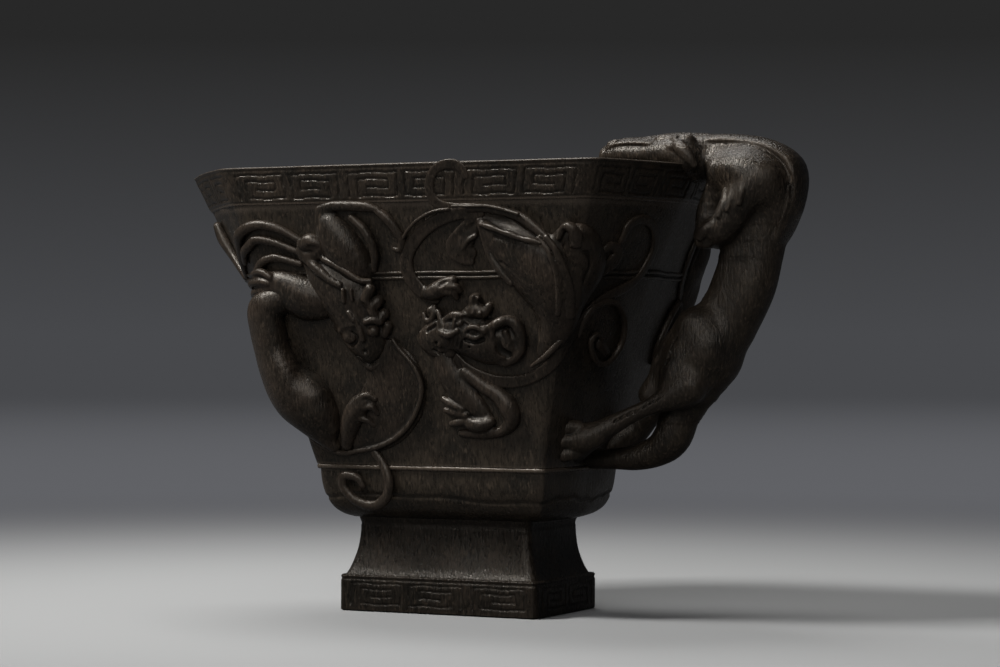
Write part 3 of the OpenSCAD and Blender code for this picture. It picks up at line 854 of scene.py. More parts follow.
@dataclass(frozen=True)
class FloorFinish:
    """Matt pale paper, the plain sweep that the cup stands on. Further out the camera sees a glow
    in its place, which greys with distance as painted shade.

    What it throws back onto the cup is the grey of a dim studio.
    """

    name: str = "matt_pale_paper"
    colour: str = "#a4a4a3"
    thrown: str = "#3c3c3d"
    away: str = "#616266"
    farthest: str = "#47484b"
    near_m: float = 0.08
    far_m: float = 0.52
    end_m: float = 2.6
    roughness: float = 0.9

    def build(self) -> bpy.types.Material:
        """Make the material."""
        mat, nodes = new_material(self.name)
        place = nodes.add("TexCoord", out="Object")
        away = nodes.add("VectorMath", {"operation": "LENGTH"}, {0: place}, 1)
        fade = nodes.remap(away, (self.near_m, self.far_m), kind="SMOOTHSTEP")
        wane = nodes.remap(away, (0.5 * self.far_m, self.end_m), kind="SMOOTHERSTEP")
        eye = nodes.add("LightPath", out="Is Camera Ray")
        tone = nodes.mix(fade, nodes.mix(eye, self.thrown, self.colour), self.thrown)
        paper = nodes.add("BsdfPrincipled", {"Roughness": self.roughness}, {"Base Color": tone})
        # far floor: a glow seen only by the camera, darkened with distance as painted shade
        glow = nodes.add("Emission", {"Strength": 1.0},
                         {"Color": nodes.mix(wane, self.away, self.farthest)})
        far = nodes.add("Math", {"operation": "MULTIPLY"}, {0: fade, 1: eye})
        shader = nodes.add("MixShader", {}, {0: far, 1: paper, 2: glow})
        nodes.add("OutputMaterial", links={"Surface": shader})
        return mat


def dress(obj: bpy.types.Object, node: str, mat: bpy.types.Material,
          standout_reach: float = 0.9) -> bpy.types.Object:
    """Finish a piece and put it in its node's place.

    Args:
        obj: the piece.
        node: the CAD node that it stands for.
        mat: its finish.
        standout_reach: size in millimetres of the detail that the standout picks out.

    Returns:
        The piece.
    """
    mark_standout(obj, standout_reach)
    obj.data.materials.clear()
    obj.data.materials.append(mat)
    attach(obj, "root")
    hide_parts(node)
    log.info("%s: %d points", obj.name, len(obj.data.vertices))
    return obj


# The vessel


@dataclass(frozen=True)
class Block:
    """Points spread round a rectangle with rounded corners.

    out is each point's outward direction, side the number of its side or minus one on a corner, and
    along its distance along that side.
    """

    points: np.ndarray
    out: np.ndarray
    side: np.ndarray
    along: np.ndarray

    @classmethod
    def spread(cls, w: float, d: float, r: float, step: float) -> "Block":
        """Spread the points.

        Args:
            w: the rectangle's length.
            d: its depth.
            r: the corners' radius.
            step: spacing of the points.

        Returns:
            The block.
        """
        points, out, side, along = [], [], [], []
        corners = ((-1, -1, 180), (1, -1, 270), (1, 1, 0), (-1, 1, 90))
        ways = ((1, 0), (0, 1), (-1, 0), (0, -1))
        for k, (sx, sy, start) in enumerate(corners):
            centre = np.array([sx * (w / 2 - r), sy * (d / 2 - r)])
            arc = np.radians(start + np.linspace(0, 90, CORNER_POINTS + 1)[:-1])
            ring = np.column_stack([np.cos(arc), np.sin(arc)])
            length = (w, d)[k % 2] - 2 * r
            n = int(round(length / step))
            go, nose = np.array(ways[k], float), np.array(ways[k - 1], float)
            s = np.arange(n)[:, None] * length / n
            points += [centre + r * ring, centre + r * nose + s * go]
            out += [ring, np.repeat(nose[None], n, 0)]
            side += [np.full(CORNER_POINTS, -1), np.full(n, k)]
            along += [np.zeros(CORNER_POINTS), s[:, 0] + r]
        return cls(np.vstack(points), np.vstack(out), np.concatenate(side), np.concatenate(along))

    def ring(self, inset: np.ndarray, z: float, scale: np.ndarray | float = 1.0) -> np.ndarray:
        """Return a level ring of the points, scaled and then moved in by inset."""
        flat = self.points * scale - self.out * np.reshape(inset, (-1, 1))
        return np.column_stack([flat, np.full(len(flat), z)])


@dataclass(frozen=True)
class Vessel:
    """The foot, the girdle, the bowl and its bands.

    Spacings, margins and clearances are millimetres. A line is the depth, the place and the width
    of a cut that runs round the cup. A wobble is the height, rate and phase of its waves.
    """

    wall: CupWall
    plain: bpy.types.Material
    wear_and_highlight: bpy.types.Material
    foot: bpy.types.Material
    frets: KeyFret = field(default_factory=KeyFret)
    fine: float = 0.27
    step: float = 0.55
    lip_units: tuple = (3, 6, 3, 3, 6, 3)
    lip_margin: float = 1.0
    lip_fret_low: float = 1.2
    lip_fret_spare: float = 3.0
    lip_clear: tuple = (0.8, 1.3)
    lip_soft: tuple = (0.25, 0.15)
    lip_low_line: tuple = (0.22, 0.45, 0.24)
    lip_top_line: tuple = (0.16, 1.05, 0.24)
    lip_edge: float = 0.45
    rim_rise: tuple = (0.3, 0.1)
    rim_wobble: tuple = ((0.16, 9.0, 0.5), (0.1, 31.0, 0.0), (0.05, 83.0, 0.0))
    lip_rows: int = 36
    foot_units: tuple = (3, 2, 3, 2)
    foot_margin: float = 1.7
    foot_fret_low: float = 1.6
    foot_fret_share: float = 0.6
    foot_line: tuple = (0.192, 0.95, 0.28)
    foot_clear: float = 1.0
    foot_edge: float = 0.35
    plinth_rows: int = 38
    plinth_round: float = 1.3
    stem_round: float = 2.2
    stem_step: float = 0.5
    stem_rows: int = 34
    stem_profile: tuple = ((0, 1), (0.12, 0.7), (0.28, 0.42), (0.45, 0.2), (0.65, 0.06),
                           (0.84, 0), (1, 0.1))
    stem_line: tuple = (0.3, 0.9, 0.025)
    girdle_profile: tuple = ((0, 0), (0.07, 0.32), (0.2, 0.6), (0.4, 0.8), (0.62, 0.92),
                             (0.84, 0.98), (1, 1))
    girdle_line: tuple = (0.34, 0.44, 0.035)
    girdle_wobble: tuple = ((0.05, 5.1, 1.2), (0.02, 17.0, 0.0))
    girdle_rows: int = 48
    fillet_profile: tuple = ((0, -0.5), (0.02, 0.0), (0.25, 0.3), (0.6, 0.36), (0.88, 0.2),
                             (1, -0.2), (1, -1.0))
    fillet_wobble: tuple = ((0.12, 6.3, 0.0), (0.07, 23.0, 1.0))
    fillet_inset: float = 0.3
    outside_rows: int = 108
    inside_rows: int = 34
    floor_turn: tuple = (0.86, 1.0, 0.26)
    floor_shares: tuple = (0.97, 0.92, 0.85, 0.76, 0.66, 0.56, 0.46, 0.36, 0.26, 0.16, 0.06)
    string_starts: tuple = (0.0, 0.56)
    string_share: float = 0.22
    string_base: float = -0.6
    string_wobble: tuple = ((0.12, 7.0, 0.0), (0.06, 21.0, 0.0))

    def base(self, w: float, d: float, z: float, u: np.ndarray) -> np.ndarray:
        """Return the wall's base plan at a length, a depth and a height of its own."""
        s = self.wall.sizes
        flat = self.wall.plan(u, np.zeros(len(u))) * np.array([w / s.girdle_w, d / s.girdle_d])
        return np.column_stack([flat, np.full(len(u), z)])

    def plinth(self) -> bpy.types.Object:
        """Model the plinth with its frets."""
        s, edge, margin = self.wall.sizes, self.foot_edge, self.foot_margin
        block = Block.spread(s.foot_w, s.foot_d, self.plinth_round, self.fine * 0.8)
        length = np.array([s.foot_w, s.foot_d] * 2)[block.side]
        unit_w = (length - 2 * margin) / np.array(self.foot_units)[block.side]
        on_side = (block.side >= 0) & (block.along > margin) & (block.along < length - margin)
        rows = [(0.0, 1.2), (0.0, 0.45),
                *((z, 0.0) for z in np.linspace(edge, s.plinth_h - edge, self.plinth_rows)),
                (s.plinth_h, 0.35), (s.plinth_h, 1.4)]
        band_h = s.plinth_h - self.foot_fret_low - margin
        deep, below, width = self.foot_line
        rings = []
        for z, back in rows:
            cut = self.frets.cut(block.along - margin, np.full(len(length), z - self.foot_fret_low),
                                 unit_w, band_h)
            in_band = self.foot_clear < z < s.plinth_h - self.foot_clear
            cut = np.where(on_side & in_band, self.foot_fret_share * cut, 0)
            rings.append(block.ring(cut + back + deep * groove(z, s.plinth_h - below, width), z))
        rings = np.array(rings)
        rings[..., :2] += Scraping(0.12, 14, 3).at(rings) * (rings[..., 2:] > 0.1)
        return loft("foot_plinth_carved", rings, True)

    def stem(self) -> bpy.types.Object:
        """Model the flared stem and the thin groove under the girdle."""
        s = self.wall.sizes
        top = np.array([s.stem_w, s.stem_d])
        lean = np.array([s.foot_w, s.foot_d]) - s.plinth_h / 6 - top
        block = Block.spread(*(top + lean), self.stem_round, self.stem_step)
        deep, middle, width = self.stem_line
        rings = np.array([
            block.ring(deep * groove(share, middle, width), s.plinth_h + share * s.stem_h,
                       (top + lean * grow) / (top + lean))
            for share, grow in spline(np.array(self.stem_profile), self.stem_rows)])
        rings[..., :2] += Scraping(0.16, 16, 5).at(rings)
        return loft("foot_stem_flared", rings, True)

    def girdle(self) -> bpy.types.Object:
        """Model the bulging girdle and the wavy line cut round it."""
        s = self.wall.sizes
        u = self.wall.columns(self.step)[0]
        out = self.wall.direction(u, np.zeros(len(u)))
        full_w, full_d = s.girdle_w - 2 * s.fillet_proud, s.girdle_d - 2 * s.fillet_proud
        low_w = s.stem_w + (full_w - s.stem_w) / 6
        deep, middle, width = self.girdle_line
        rings = []
        for share, grow in spline(np.array(self.girdle_profile), self.girdle_rows):
            ring = self.base(low_w + (full_w - low_w) * grow, s.stem_d + (full_d - s.stem_d) * grow,
                             s.stem_z + share * s.girdle_h, u)
            line = deep * groove(share, middle + wobble(u, self.girdle_wobble), width)
            ring[:, :2] -= out * line[:, None]
            rings.append(ring)
        rings = np.array(rings)
        rings[..., :2] += Scraping(0.18, 13, 7).at(rings)
        return loft("girdle_scraped", rings, True)

    def fillet(self) -> bpy.types.Object:
        """Model the thin uneven edge on the girdle."""
        s = self.wall.sizes
        u = self.wall.columns(self.step)[0]
        out = self.wall.direction(u, np.zeros(len(u)))
        swell = 1 + wobble(u, self.fillet_wobble)
        rings = []
        for share, proud in self.fillet_profile:
            ring = self.base(s.girdle_w, s.girdle_d, s.girdle_z + share * s.fillet_h, u)
            ring[:, :2] += out * (proud * swell - self.fillet_inset)[:, None]
            rings.append(ring)
        return loft("girdle_edge", np.array(rings), True)

    def bowl(self) -> bpy.types.Object:
        """Model the bowl, scraped outside, and polished inside down to its flat floor."""
        s = self.wall.sizes
        u = self.wall.columns(self.step)[0]
        outside = np.array([self.wall.ring(u, z, 0.0)
                            for z in np.linspace(s.body_z, s.lip_z, self.outside_rows)])
        outside += Scraping(0.14, 11, 11).at(outside) * self.wall.normal(u, np.full(len(u), 0.5))
        deep = s.lip_z - s.body_z - s.floor_t
        turn_from, turn_to, turn_in = self.floor_turn
        rings = []
        for share in np.linspace(0, 1, self.inside_rows):
            t = s.lip_t + (s.wall_t - s.lip_t) * share
            ring = unlooped(self.wall.ring(u, s.lip_z - share * deep, -t))
            ring[:, :2] *= 1 - turn_in * float(smoothstep(turn_from, turn_to, share)) ** 2
            rings.append(ring)
        edge, middle = rings[-1], rings[-1].mean(axis=0)
        inside = np.array(rings + [middle + (edge - middle) * share for share in self.floor_shares])
        inside[..., :2] += Scraping(0.15, 18, 13).at(inside)
        return loft("bowl_hollowed", np.concatenate([outside, inside]), True)

    def double_line(self) -> bpy.types.Object:
        """Model the double line round the bowl."""
        s = self.wall.sizes
        u = self.wall.columns(self.step)[0]
        high = s.string_proud * 0.85
        profile = [(start + self.string_share * (1 - math.cos(a)), 0.05 + high * math.sin(a))
                   for start in self.string_starts for a in np.linspace(0, math.pi, 7)]
        stray = wobble(u, self.string_wobble)
        rings = [self.wall.ring(u, s.string_z + share * s.string_h + stray, proud)
                 for share, proud in [(0.0, self.string_base), *profile, (1.0, self.string_base)]]
        return loft("double_line", np.array(rings), False)

    def lip(self) -> bpy.types.Object:
        """Model the lip with its band of frets and its worn edge."""
        s, margin = self.wall.sizes, self.lip_margin
        u, side, along, length = self.wall.columns(self.fine)
        unit_w = (length - 2 * margin) / np.array(self.lip_units)[side]
        on_side = (along > margin) & (along < length - margin)
        rings = []
        for z in np.linspace(s.lip_z, s.rim_z - self.lip_edge, self.lip_rows):
            cut = self.frets.cut(along - margin, np.full(len(u), z - s.lip_z - self.lip_fret_low),
                                 unit_w, s.lip_h - self.lip_fret_spare)
            in_band = s.lip_z + self.lip_clear[0] < z < s.rim_z - self.lip_clear[1]
            cut = np.where(on_side & in_band, cut, 0)
            deep, above, width = self.lip_low_line
            line = deep * groove(z, s.lip_z + above, width)
            deep, below, width = self.lip_top_line
            line += deep * groove(z, s.rim_z - below, width)
            soft = self.lip_soft[0] * math.exp(-(z - s.lip_z) / self.lip_soft[1])
            rings.append(self.wall.ring(u, z, s.lip_proud - cut - line - soft))
        rise = self.rim_rise[0] + self.rim_rise[1] * wobble(u, self.rim_wobble)
        half = (s.lip_proud + s.lip_t) / 2
        for a in np.linspace(0, math.pi, 9)[1:]:
            rings.append(self.wall.ring(u, s.rim_z - self.lip_edge + rise * math.sin(a),
                                         s.lip_proud - half * (1 - math.cos(a))))
        for z in np.linspace(s.rim_z - 0.8, s.lip_z, 9):
            rings.append(self.wall.ring(u, z, -s.lip_t))
        rings = np.array(rings)
        rings[..., :2] += Scraping(0.1, 12, 17).at(rings)
        return loft("lip_fretted", rings, False)

    def build(self) -> None:
        """Build and dress every piece of the vessel."""
        pieces = (
            (self.plinth(), "foot_plinth", Slot.WALL, self.foot, 0.7),
            (self.stem(), "foot_stem", Slot.WALL, self.foot, 1.5),
            (self.girdle(), "girdle", Slot.WALL, self.plain, 1.2),
            (self.fillet(), "girdle_fillet", Slot.EDGE, self.wear_and_highlight, 0.9),
            (self.bowl(), "bowl", Slot.WALL, self.plain, 1.5),
            (self.double_line(), "string_band", Slot.EDGE, self.plain, 0.7),
            (self.lip(), "lip_band", Slot.EDGE, self.wear_and_highlight, 0.6),
        )
        for obj, node, slot, mat, reach in pieces:
            only(obj)
            bpy.ops.object.shade_smooth_by_angle(angle=math.radians(50))
            dress(obj, node, mat, reach)


# The carving on the long faces

RELIEF: dict[str, tuple[Strand, ...]] = {
    "spout_dragon_head": (
        lay((1.204, 0.666, 2.6, 0), (1.237, 0.633, 4.6), (1.275, 0.593, 6.6), (1.306, 0.542, 6.8),
            (1.324, 0.489, 6.4), (1.333, 0.439, 5.6), (1.34, 0.399, 4.1), (1.342, 0.366, 2.3),
            flat=0.56),
        lay((1.326, 0.422, 2.6, 0.9), (1.342, 0.392, 2.5), (1.348, 0.372, 1.7, 0.7), flat=0.85),
        lay((1.293, 0.436, 1.5, 1.9)),
        lay((1.385, 0.457, 1.4, 2.3)),
        dig((1.275, 0.423, 0.32, 2.2), (1.291, 0.41, 0.4, 2.3), (1.32, 0.422, 0.42, 2.9),
            (1.328, 0.443, 0.4, 3), (1.317, 0.459, 0.36)),
        dig((1.368, 0.44, 0.38, 3.2), (1.386, 0.43, 0.42, 3), (1.405, 0.441, 0.38, 2.5),
            (1.406, 0.461, 0.34, 2.4)),
        lay((1.338, 0.49, 0.7, 3.3), (1.347, 0.46), (1.349, 0.431, 0.6)),
        lay((1.265, 0.456, 0.7, 1.9), (1.293, 0.475, 0.8, 2.7), (1.322, 0.48, 0.7, 3.2)),
        lay((1.369, 0.49, 0.7, 3.3), (1.392, 0.496, 0.8, 3), (1.41, 0.487, 0.7, 2.4)),
        dig((1.348, 0.39, 0.62, 3.1)),
        dig((1.39, 0.405, 0.75, 2.7)),
        dig((1.295, 0.386, 0.3, 1), (1.317, 0.365, 0.32, 1.6), (1.338, 0.346, 0.34, 1),
            (1.373, 0.356, 0.32), (1.402, 0.385, 0.3, 0.8)),
        lay((1.32, 0.337, 0.7, 0.3), (1.346, 0.328, 0.8, 0.5), (1.374, 0.344, 0.6, 0.4)),
        lay((1.182, 0.704, 0.8, 1.2), (1.212, 0.682, 1.15, 1.9), (1.244, 0.654, 1.25, 2.6),
            (1.274, 0.629, 1.1, 3), (1.303, 0.613, 0.8, 3.4)),
        lay((1.256, 0.695, 0.8, 1.9), (1.292, 0.677, 0.9, 2.5), (1.33, 0.655, 0.8, 3),
            (1.363, 0.628, 0.7, 2.9), (1.393, 0.622, 0.6, 2.2)),
        dig((1.257, 0.68, 0.5, 3.4), (1.295, 0.655, 0.6, 4), (1.335, 0.632, 0.6, 4.2)),
        lay((1.314, 0.598, 0.5, 3.9), (1.311, 0.559, 0.5, 4)),
        lay((1.341, 0.599, 0.45, 4), (1.339, 0.566)),
        dig((1.336, 0.601, 0.45, 4.6), (1.33, 0.557, 0.4, 4.4)),
        dig((1.36, 0.6, 0.6, 4.4), (1.363, 0.566, 0.5, 4.2)),
        lay((1.319, 0.522, 0.6, 3.7), (1.332, 0.498)),
        lay((1.39, 0.596, 1.3, 2.3), (1.377, 0.565, 1.2, 2.8), (1.388, 0.541, 1.1, 2.5)),
        lay((1.403, 0.553, 1.4, 1.2), (1.39, 0.531, 1.2, 2.5), (1.397, 0.506, 1.1, 2.1)),
        lay((1.416, 0.509, 1.3, 0.9), (1.405, 0.49, 1, 2.1)),
        lay((1.422, 0.468, 1.2, 0.6), (1.412, 0.443, 1, 1.1)),
        dig((1.372, 0.549, 0.55, 3.9), (1.385, 0.525, 0.5, 3.8)),
        dig((1.401, 0.567, 0.4, 3.4)),
        dig((1.411, 0.533, 0.4, 3.2)),
        lay((1.237, 0.495, 0.6, 0.8), (1.252, 0.476, 0.75, 1), (1.249, 0.455, 0.6, 0.7),
            (1.234, 0.461, 0.45, 0.5)),
        lay((1.197, 0.74, 1.7, 1.2), (1.225, 0.75, 2, 1.4), (1.244, 0.736, 1.7, 1.3),
            (1.235, 0.713, 1.7, 1.1), (1.203, 0.703, 1.9, 1), (1.188, 0.72, 1.6), flat=0.9),
        dig((1.227, 0.736, 0.7, 3.3), (1.245, 0.736, 0.6, 3.2)),
    ),
    "spout_dragon_mane": (
        lay((1.19, 0.749, 0.8, 0.8), (1.133, 0.79, 1.05, 0.9), (1.078, 0.808, 1.15, 1),
            (1.027, 0.8, 1.2, 1.1), (0.97, 0.775), (0.9, 0.745, 1.1, 0.9), (0.78, 0.7, 1, 0.7),
            (0.64, 0.64, 0.7, 0.4), flat=0.85),
        lay((1.175, 0.713, 0.8, 0.8), (1.101, 0.748, 0.95, 1), (1.046, 0.759, 1, 1.1),
            (0.998, 0.733, 1, 1), (0.87, 0.687, 0.8, 0.7), flat=0.85),
        lay((1.167, 0.676, 0.8, 0.8), (1.094, 0.698, 0.95, 1), (1.051, 0.688),
            (1.01, 0.658, 0.8, 0.8), flat=0.85),
        lay((0.38, 0.82, 1.3, 1.1), (0.4, 0.775, 1.6, 1.2), (0.46, 0.71, 1.2, 0.8),
            (0.56, 0.64, 0.9, 0.4), flat=0.85),
    ),
    "spout_dragon_foreleg": (
        lay((1.192, 0.553, 4.6, 0), (1.142, 0.563, 5.4), (1.099, 0.591, 4.4, 0.2),
            (1.061, 0.609, 3.2, 0.5), (1.018, 0.621, 2.2, 0.8), flat=0.7),
        lay((1.066, 0.638, 0.9, 2.2), (1.037, 0.654, 0.9, 1.8), (0.995, 0.647, 0.7, 1.2)),
        lay((1.053, 0.618, 0.9, 2.2), (1.013, 0.621, 0.9, 1.8), (0.871, 0.607, 0.7, 1)),
        lay((1.05, 0.597, 0.9, 1.8), (1.002, 0.59, 0.9, 1.4), (0.735, 0.574, 0.7, 0.8)),
    ),
    "spout_dragon_body": (
        lay((1.09, 0.57, 2.8, 0.6), (1.006, 0.528, 3.8, 1.2), (0.985, 0.461, 3.8, 1.8),
            (0.973, 0.394, 3.9, 2), (0.994, 0.333, 4.2, 2.2), (1.008, 0.271, 4.5, 2),
            (1.026, 0.212, 4.4, 1.6), (1.052, 0.155, 3.7, 1.1), (1.078, 0.107, 2.7, 0.7),
            (1.113, 0.065, 1.7, 0.3), flat=0.95),
        lay((1.048, 0.265, 4.4, 0.4), (1.066, 0.234, 5.8), (1.08, 0.19, 5.6),
            (1.096, 0.142, 4.2, 0.2), flat=0.86),
        lay((0.998, 0.451, 0.5, 4.6), (0.991, 0.468, 0.5, 4.5), (0.985, 0.488, 0.4, 4.2)),
    ),
    "spout_dragon_hind_leg": (
        lay((1.173, 0.069, 1.5, 0.3), (1.206, 0.125, 2.2, 0.6), (1.249, 0.18, 2.5, 0.8),
            (1.291, 0.215, 2.1, 0.9), (1.321, 0.211, 1.3, 0.8), flat=0.9),
        lay((1.279, 0.225, 0.8, 2), (1.315, 0.241, 0.8, 1.7), (1.34, 0.226, 0.7, 1.2)),
        lay((1.288, 0.198, 0.8, 2), (1.323, 0.201, 0.8, 1.7), (1.34, 0.178, 0.7, 1)),
        lay((1.262, 0.164, 0.8, 1.8), (1.293, 0.156, 0.8, 1.4), (1.313, 0.137, 0.7, 0.8)),
    ),
    "spout_dragon_tail": (
        lay((1.404, 0.36, 4.5, 0.1), (1.418, 0.307, 6.6), (1.416, 0.246, 7.4), (1.374, 0.186, 7.2),
            (1.307, 0.138, 6.2), (1.24, 0.11, 4.5), flat=0.16),
        lay((0.95, 0.14, 0.5, 0.4), (1.059, 0.062, 0.55, 0.5), (1.143, 0.039, 0.62, 0.6),
            (1.219, 0.048, 0.62, 0.7), (1.311, 0.063, 0.62, 0.8), (1.396, 0.095, 0.6, 0.9),
            (1.462, 0.143, 0.58, 0.95), (1.506, 0.204, 0.56, 1), (1.524, 0.264),
            (1.511, 0.317, 0.55, 0.95), (1.482, 0.36, 0.5, 0.9), (1.453, 0.392, 0.5, 0.8),
            (1.434, 0.421, 0.5, 0.6)),
        dig((1.477, 0.417, 1.2, 1.3), (1.528, 0.364, 1.5), (1.564, 0.318, 1.6), (1.571, 0.262),
            (1.55, 0.192), (1.498, 0.121), (1.423, 0.066, 1.4), (1.323, 0.027, 1.4, 1.2),
            (1.221, 0.015, 1.3, 1.1)),
        dig((1.399, 0.335, 0.4, 1.5), (1.399, 0.308)),
    ),
    "cloud_scroll": (
        lay((1.261, 0.856, 0.8, 0.7), (1.302, 0.865, 1.15, 0.8), (1.353, 0.864, 1.2),
            (1.399, 0.86, 1.15), (1.429, 0.852, 0.7), flat=0.9),
        lay((1.421, 0.853, 0.7, 0.8), (1.45, 0.826, 1.1), (1.475, 0.786, 1.1, 0.6),
            (1.492, 0.746, 0.95, 0.5), (1.483, 0.717, 0.7, 0.4), (1.465, 0.72, 0.5, 0.3), flat=0.9),
        dig((1.305, 0.878, 0.28, 1.9), (1.304, 0.856)),
        dig((1.335, 0.881, 0.28, 2), (1.334, 0.855)),
        dig((1.363, 0.881, 0.28, 2), (1.363, 0.854)),
        dig((1.391, 0.877, 0.28, 2), (1.391, 0.854)),
        lay((1.273, 0.818, 2.6, 0.2), (1.289, 0.778, 4.3, 0.1), (1.311, 0.724, 5, 0),
            (1.334, 0.671, 4.6), (1.353, 0.628, 3), flat=0.75),
        dig((1.348, 0.84, 1.2, 3.6), (1.373, 0.804, 2, 4.6), (1.392, 0.764, 2.1),
            (1.404, 0.723, 1.6, 3.9), (1.406, 0.679, 0.8, 2.6)),
        lay((1.354, 0.825, 0.9, 0.8), (1.384, 0.789, 1, 1), (1.403, 0.746),
            (1.408, 0.699, 0.9, 0.8), (1.399, 0.653, 0.7, 0.6)),
        dig((1.318, 0.815, 0.3, 3.6), (1.311, 0.776, 0.3, 3.9)),
        dig((1.338, 0.777, 0.3, 4.2), (1.329, 0.732, 0.3, 4.3)),
    ),
    "girdle_curl": (
        lay((1.285, 0.045, 1.1, 0.2), (1.315, 0, 1.16, 0.5), (1.33, -0.055, 1.16, 1.05),
            (1.305, -0.108, 1.16, 1.3), (1.24, -0.135), (1.16, -0.12), (1.115, -0.075, 1.16, 1.25),
            (1.13, -0.038, 1.1, 1.1), (1.185, -0.042, 1.04, 1), (1.205, -0.068, 0.85), flat=0.74),
    ),
    "centre_dragon_head": (
        lay((1.548, 0.426, 2.2, 0), (1.58, 0.433, 3.4, 0.1), (1.619, 0.443, 4, 0.2),
            (1.667, 0.447, 4.5, 0.3), (1.718, 0.43, 4.8, 0.2), (1.768, 0.413, 5, 0),
            (1.817, 0.403, 4.4), (1.853, 0.394, 2.8), flat=0.7),
        lay((1.558, 0.41, 2.2, 0.1), (1.589, 0.394, 2.3, 0.2), (1.627, 0.384, 2, 0.1), flat=0.8),
        lay((1.534, 0.448, 0.5, 0.7), (1.547, 0.419, 0.55, 0.9), (1.566, 0.393),
            (1.584, 0.365, 0.5, 0.6)),
        lay((1.601, 0.456, 0.6, 2), (1.624, 0.453, 0.8, 3), (1.646, 0.447, 0.85, 3.3),
            (1.674, 0.461, 0.7, 3.4)),
        lay((1.628, 0.495, 0.7, 1.9), (1.657, 0.51, 0.9, 2.4), (1.687, 0.507, 0.9, 2.5),
            (1.711, 0.491, 0.8), (1.736, 0.482, 0.8, 2.9)),
        lay((1.665, 0.496, 0.55, 3.1), (1.663, 0.474, 0.55, 3.3)),
        lay((1.679, 0.485, 0.95, 2.7)),
        dig((1.675, 0.491, 0.32, 3.6), (1.684, 0.501, 0.32, 3.5), (1.698, 0.491, 0.36, 3.6),
            (1.695, 0.478, 0.36, 3.7), (1.682, 0.475)),
        lay((1.727, 0.459, 1.25, 2.8), flat=0.8),
        lay((1.7, 0.457, 0.5, 3.3), (1.715, 0.472, 0.6, 3.6), (1.738, 0.475, 0.6, 3.7),
            (1.761, 0.461, 0.6, 3.5)),
        lay((1.707, 0.448, 0.5, 3.4), (1.735, 0.438, 0.55, 3.5), (1.757, 0.448, 0.5, 3.3)),
        dig((1.703, 0.431, 0.5, 3.2), (1.73, 0.424, 0.5, 3.1), (1.761, 0.431, 0.55, 3.2)),
        dig((1.715, 0.41, 0.4, 2.9), (1.742, 0.403, 0.4, 2.8)),
        lay((1.76, 0.479, 0.65, 2.9), (1.766, 0.457, 0.65, 3.2)),
        lay((1.787, 0.466, 0.6, 2.9), (1.792, 0.44, 0.55)),
        lay((1.766, 0.467, 0.8, 2.3), (1.787, 0.474, 1.15, 2.5), (1.808, 0.487, 1.2, 2.3),
            (1.827, 0.494, 0.9, 1.6)),
        dig((1.695, 0.503, 0.5, 3.2), (1.723, 0.496, 1, 3), (1.758, 0.491, 1, 2.7)),
        lay((1.689, 0.513, 1, 1.3), (1.719, 0.523, 1.7, 1.4), (1.748, 0.516, 1.4, 1.3),
            (1.762, 0.534, 1, 1.1), flat=0.9),
        lay((1.721, 0.517, 0.5, 2.7)),
        lay((1.744, 0.517, 0.5, 2.7)),
        lay((1.716, 0.537, 1.3, 1), (1.717, 0.558, 1.4, 1.2)),
        lay((1.717, 0.568, 0.45, 2.3)),
        lay((1.732, 0.564, 0.45, 2.2)),
        dig((1.725, 0.576, 0.35, 2.6), (1.725, 0.553)),
        lay((1.61, 0.414, 0.9, 2.1)),
        lay((1.586, 0.426, 0.6, 2)),
        dig((1.598, 0.418, 0.45, 2.3)),
        lay((1.606, 0.392, 0.6, 1.6), (1.597, 0.367, 0.7, 0.9)),
        dig((1.584, 0.393, 0.35, 1.9), (1.606, 0.379, 0.35, 1.7), (1.636, 0.383, 0.35, 1.9)),
        dig((1.649, 0.434, 0.28, 3.2), (1.64, 0.405, 0.28, 2.5)),
        dig((1.664, 0.435, 0.28, 3.4), (1.655, 0.402, 0.28, 2.6)),
        dig((1.678, 0.435, 0.28, 3.5), (1.67, 0.406, 0.28, 2.8)),
        dig((1.691, 0.428, 0.28, 3.4), (1.683, 0.399, 0.28, 2.7)),
        lay((1.581, 0.53, 0.7, 0.6), (1.583, 0.508, 0.75, 1), (1.572, 0.489, 0.65),
            (1.553, 0.488, 0.6, 0.7), (1.546, 0.506, 0.5, 0.4)),
        lay((1.571, 0.521, 0.9, 0.7)),
        lay((1.596, 0.518, 0.5, 1), (1.606, 0.501, 0.6, 1.6), (1.616, 0.476, 0.6, 2.2)),
        lay((1.775, 0.453, 1.2, 1.9), (1.801, 0.478, 1.3, 1.6), (1.838, 0.486, 1.2, 1.2),
            (1.866, 0.456, 1.2, 1), (1.878, 0.41, 1.2, 0.9), (1.871, 0.374, 1.3, 1),
            (1.834, 0.351, 1.2, 0.9), (1.794, 0.357, 0.9, 0.8)),
        lay((1.827, 0.454, 0.6, 2.2), (1.844, 0.418), (1.831, 0.394, 0.5, 2)),
        dig((1.81, 0.432, 0.8, 3.6), (1.819, 0.398, 0.9, 3), (1.845, 0.379, 0.9, 2.4)),
        dig((1.858, 0.446, 0.6, 2.8), (1.868, 0.409, 0.6, 2.6)),
        dig((1.566, 0.456, 0.45, 1.9), (1.591, 0.472, 0.5)),
    ),
    "centre_dragon_foreleg": (
        lay((1.598, 0.38, 2.2, 0), (1.617, 0.327, 2.9), (1.645, 0.278, 3.2), (1.685, 0.232, 3),
            (1.727, 0.196, 2.3, 0.1), (1.758, 0.167, 1.7), flat=0.72),
        lay((1.683, 0.315, 1.5, 0.2), (1.754, 0.269, 1.7), (1.807, 0.24, 1.9), (1.848, 0.198, 2.1),
            (1.862, 0.155, 1.8), (1.823, 0.121, 1.3), (1.743, 0.111, 1.2),
            (1.662, 0.112, 0.9, 0.1)),
        lay((1.677, 0.196, 1, 1.2), (1.636, 0.212), (1.603, 0.227, 0.7, 0.8)),
